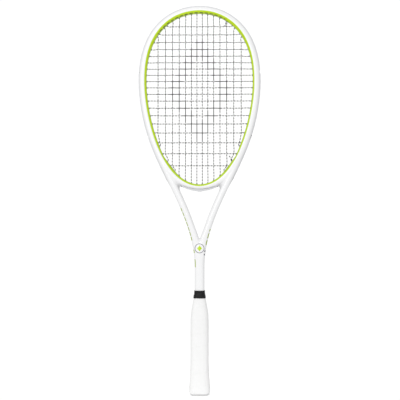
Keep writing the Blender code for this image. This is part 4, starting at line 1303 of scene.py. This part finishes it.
# Of each: the clouds' scale and detail, the darkest and the lightest colour, the least roughness and
# its span, the scale, detail, strength and depth of the grain, if any, and other sockets
CLOUDY_LOOKS = {
    "strip_plastic": ((120.0, 4.0), (0.60, 0.61, 0.63), (0.70, 0.70, 0.71), (0.36, 0.16),
                      (1500.0, 3.0, 0.15, 0.2), {}),
    # Dark grey barrels, though moulded with the pale strips: painted shade at the string holes
    "barrel_painted_shade": ((300.0, 3.0), (0.10, 0.11, 0.10), (0.16, 0.17, 0.16), (0.40, 0.0),
                       (1800.0, 2.0, 0.1, 0.2), {}),
    "cap_plastic": ((90.0, 3.0), (0.66, 0.66, 0.66), (0.72, 0.72, 0.72), (0.34, 0.14),
                    (1600.0, 2.0, 0.15, 0.2), {}),
    "tape_black": ((200.0, 4.0), (0.004, 0.004, 0.004), (0.010, 0.010, 0.011), (0.34, 0.22),
                   (1200.0, 4.0, 0.3, 0.3), {"Specular_IOR_Level": 0.2}),
    "staple_steel": ((1500.0, 3.0), (0.52, 0.52, 0.53), (0.70, 0.70, 0.71), (0.22, 0.18),
                     None, {"Metallic": 1.0}),
}


def cloudy_look(name):
    """A surface with soft clouds in its colour and roughness, and fine grain in its relief."""
    clouds, low, high, roughness, grain, sockets = CLOUDY_LOOKS[name]
    look = Look(name, **sockets)
    cloud = look.noise(*clouds)
    look.set("Base Color", look.mix(cloud, low, high))
    look.set("Roughness", cloud * roughness[1] + roughness[0])
    if grain:
        look.bump(look.noise(*grain[:2]), *grain[2:])
    return look.material


def grip_look():
    look = Look("grip_cover", Sheen_Weight=0.15, Sheen_Roughness=0.4)
    cloud = look.noise(35.0, 4.0)
    look.set("Base Color", look.mix(cloud, (0.825, 0.825, 0.82), (0.87, 0.87, 0.87)))
    look.set("Roughness", cloud * 0.15 + 0.5)
    look.bump(look.cells(1400.0) * 0.6 + look.noise(500.0, 3.0), 0.25, 0.3)
    return look.material


def foam_look():
    look = Look("pallet_foam", Roughness=0.9)
    look.set("Base Color", look.mix(look.noise(60.0, 3.0), (0.62, 0.58, 0.47), (0.74, 0.70, 0.60)))
    look.bump(look.cells(900.0), 0.5, 0.6)
    return look.material


def floor_look():
    """Pale from above and clear from below, so that a view from under the floor shows the racket."""
    look = Look("studio_floor", Roughness=0.7, Base_Color=(0.9, 0.9, 0.9),
                Emission_Color=(1.0, 1.0, 1.0))
    seen = look.output("ShaderNodeLightPath", "Is Camera Ray")
    look.set("Emission Strength", seen * FLOOR_GLOW_SEEN + FLOOR_GLOW)
    pale = Value(look, look.shader.outputs[0])
    clear = look.output("ShaderNodeBsdfTransparent", 0)
    underside = look.output("ShaderNodeNewGeometry", "Backfacing")
    surface = look.output("ShaderNodeMixShader", 0, {0: underside, 1: pale, 2: clear})
    look.feed(look.tree.nodes["Material Output"].inputs["Surface"], surface)
    return look.material


# ---------------------------------------------------------------- build

def dress_cad_nodes():
    """The CAD pieces inside the handle keep their shapes and get finished materials."""
    materials = {"pallet": foam_look(), "staple": cloudy_look("staple_steel")}
    for name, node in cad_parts.items():
        material = materials.get(name.split("_")[0])
        if material:
            node.data.materials.clear()
            node.data.materials.append(material)


def area_light(name, place, target, size, power):
    data = bpy.data.lights.new(name, "AREA")
    data.size = size
    data.energy = power
    lamp = new_object(name, data)
    lamp.location = place
    lamp.rotation_euler = (Vector(target) - Vector(place)).to_track_quat("-Z", "Y").to_euler()


def build_world():
    """Soft white light all round, and a clean white backdrop for the camera."""
    world = bpy.data.worlds.new("studio")
    bpy.context.scene.world = world
    world.use_nodes = True
    tree = world.node_tree
    tree.nodes.clear()
    chooser = tree.nodes.new("ShaderNodeMixShader")
    rays = tree.nodes.new("ShaderNodeLightPath")
    tree.links.new(rays.outputs["Is Camera Ray"], chooser.inputs[0])
    for socket, strength in ((1, ROOM_LIGHT), (2, BACKDROP_LIGHT)):
        shader = tree.nodes.new("ShaderNodeBackground")
        shader.inputs["Color"].default_value = (1, 1, 1, 1)
        shader.inputs["Strength"].default_value = strength
        tree.links.new(shader.outputs[0], chooser.inputs[socket])
    output = tree.nodes.new("ShaderNodeOutputWorld")
    tree.links.new(chooser.outputs[0], output.inputs[0])


def build_floor():
    rim = [(FLOOR_RADIUS * math.cos(angle), FLOOR_RADIUS * math.sin(angle), 0)
           for angle in turns(64)]
    floor = new_object("studio_floor", mesh_from(rim, [range(len(rim))], "studio_floor"))
    floor.location.z = -FLOOR_DROP
    floor.data.materials.append(floor_look())


def build_camera():
    """Nearly square on to the front, a little to the right of the middle."""
    target = Vector((0.7 * MM, 0, LENGTH / 2 + 0.7 * MM))
    level = math.cos(CAMERA_ELEVATION)
    back = Vector((math.sin(CAMERA_AZIMUTH) * level, -math.cos(CAMERA_AZIMUTH) * level,
                   math.sin(CAMERA_ELEVATION)))
    data = bpy.data.cameras.new("camera")
    data.sensor_width = 36
    data.lens = CAMERA_LENS
    camera = new_object("camera", data)
    camera.location = target + back * CAMERA_DISTANCE
    camera.rotation_euler = (-back).to_track_quat("-Z", "Y").to_euler()
    bpy.context.scene.camera = camera


add_piece("racket_body", body_mesh(), [frame_paint()], ["frame", "throat_bridge"])
# The barrels' dark grey is painted shade at the string holes
build_strips([cloudy_look("strip_plastic"), cloudy_look("barrel_painted_shade")])
build_string(string_look())
build_butt_cap(cloudy_look("cap_plastic"))
build_grip(grip_look())
build_tape(cloudy_look("tape_black"))
dress_cad_nodes()

build_world()
build_floor()
area_light("front_box", (-0.7, -2.2, 1.1), (0, 0, 0.4), size=1.6, power=23.5)
area_light("fill_box", (1.2, -2.0, 0.5), (0, 0, LENGTH / 2), size=1.2, power=1.5)
area_light("top_box", (0, 0.2, 2.4), (0, 0, LENGTH / 2), size=1.6, power=2.2)
build_camera()
bpy.context.scene.view_settings.view_transform = "Standard"
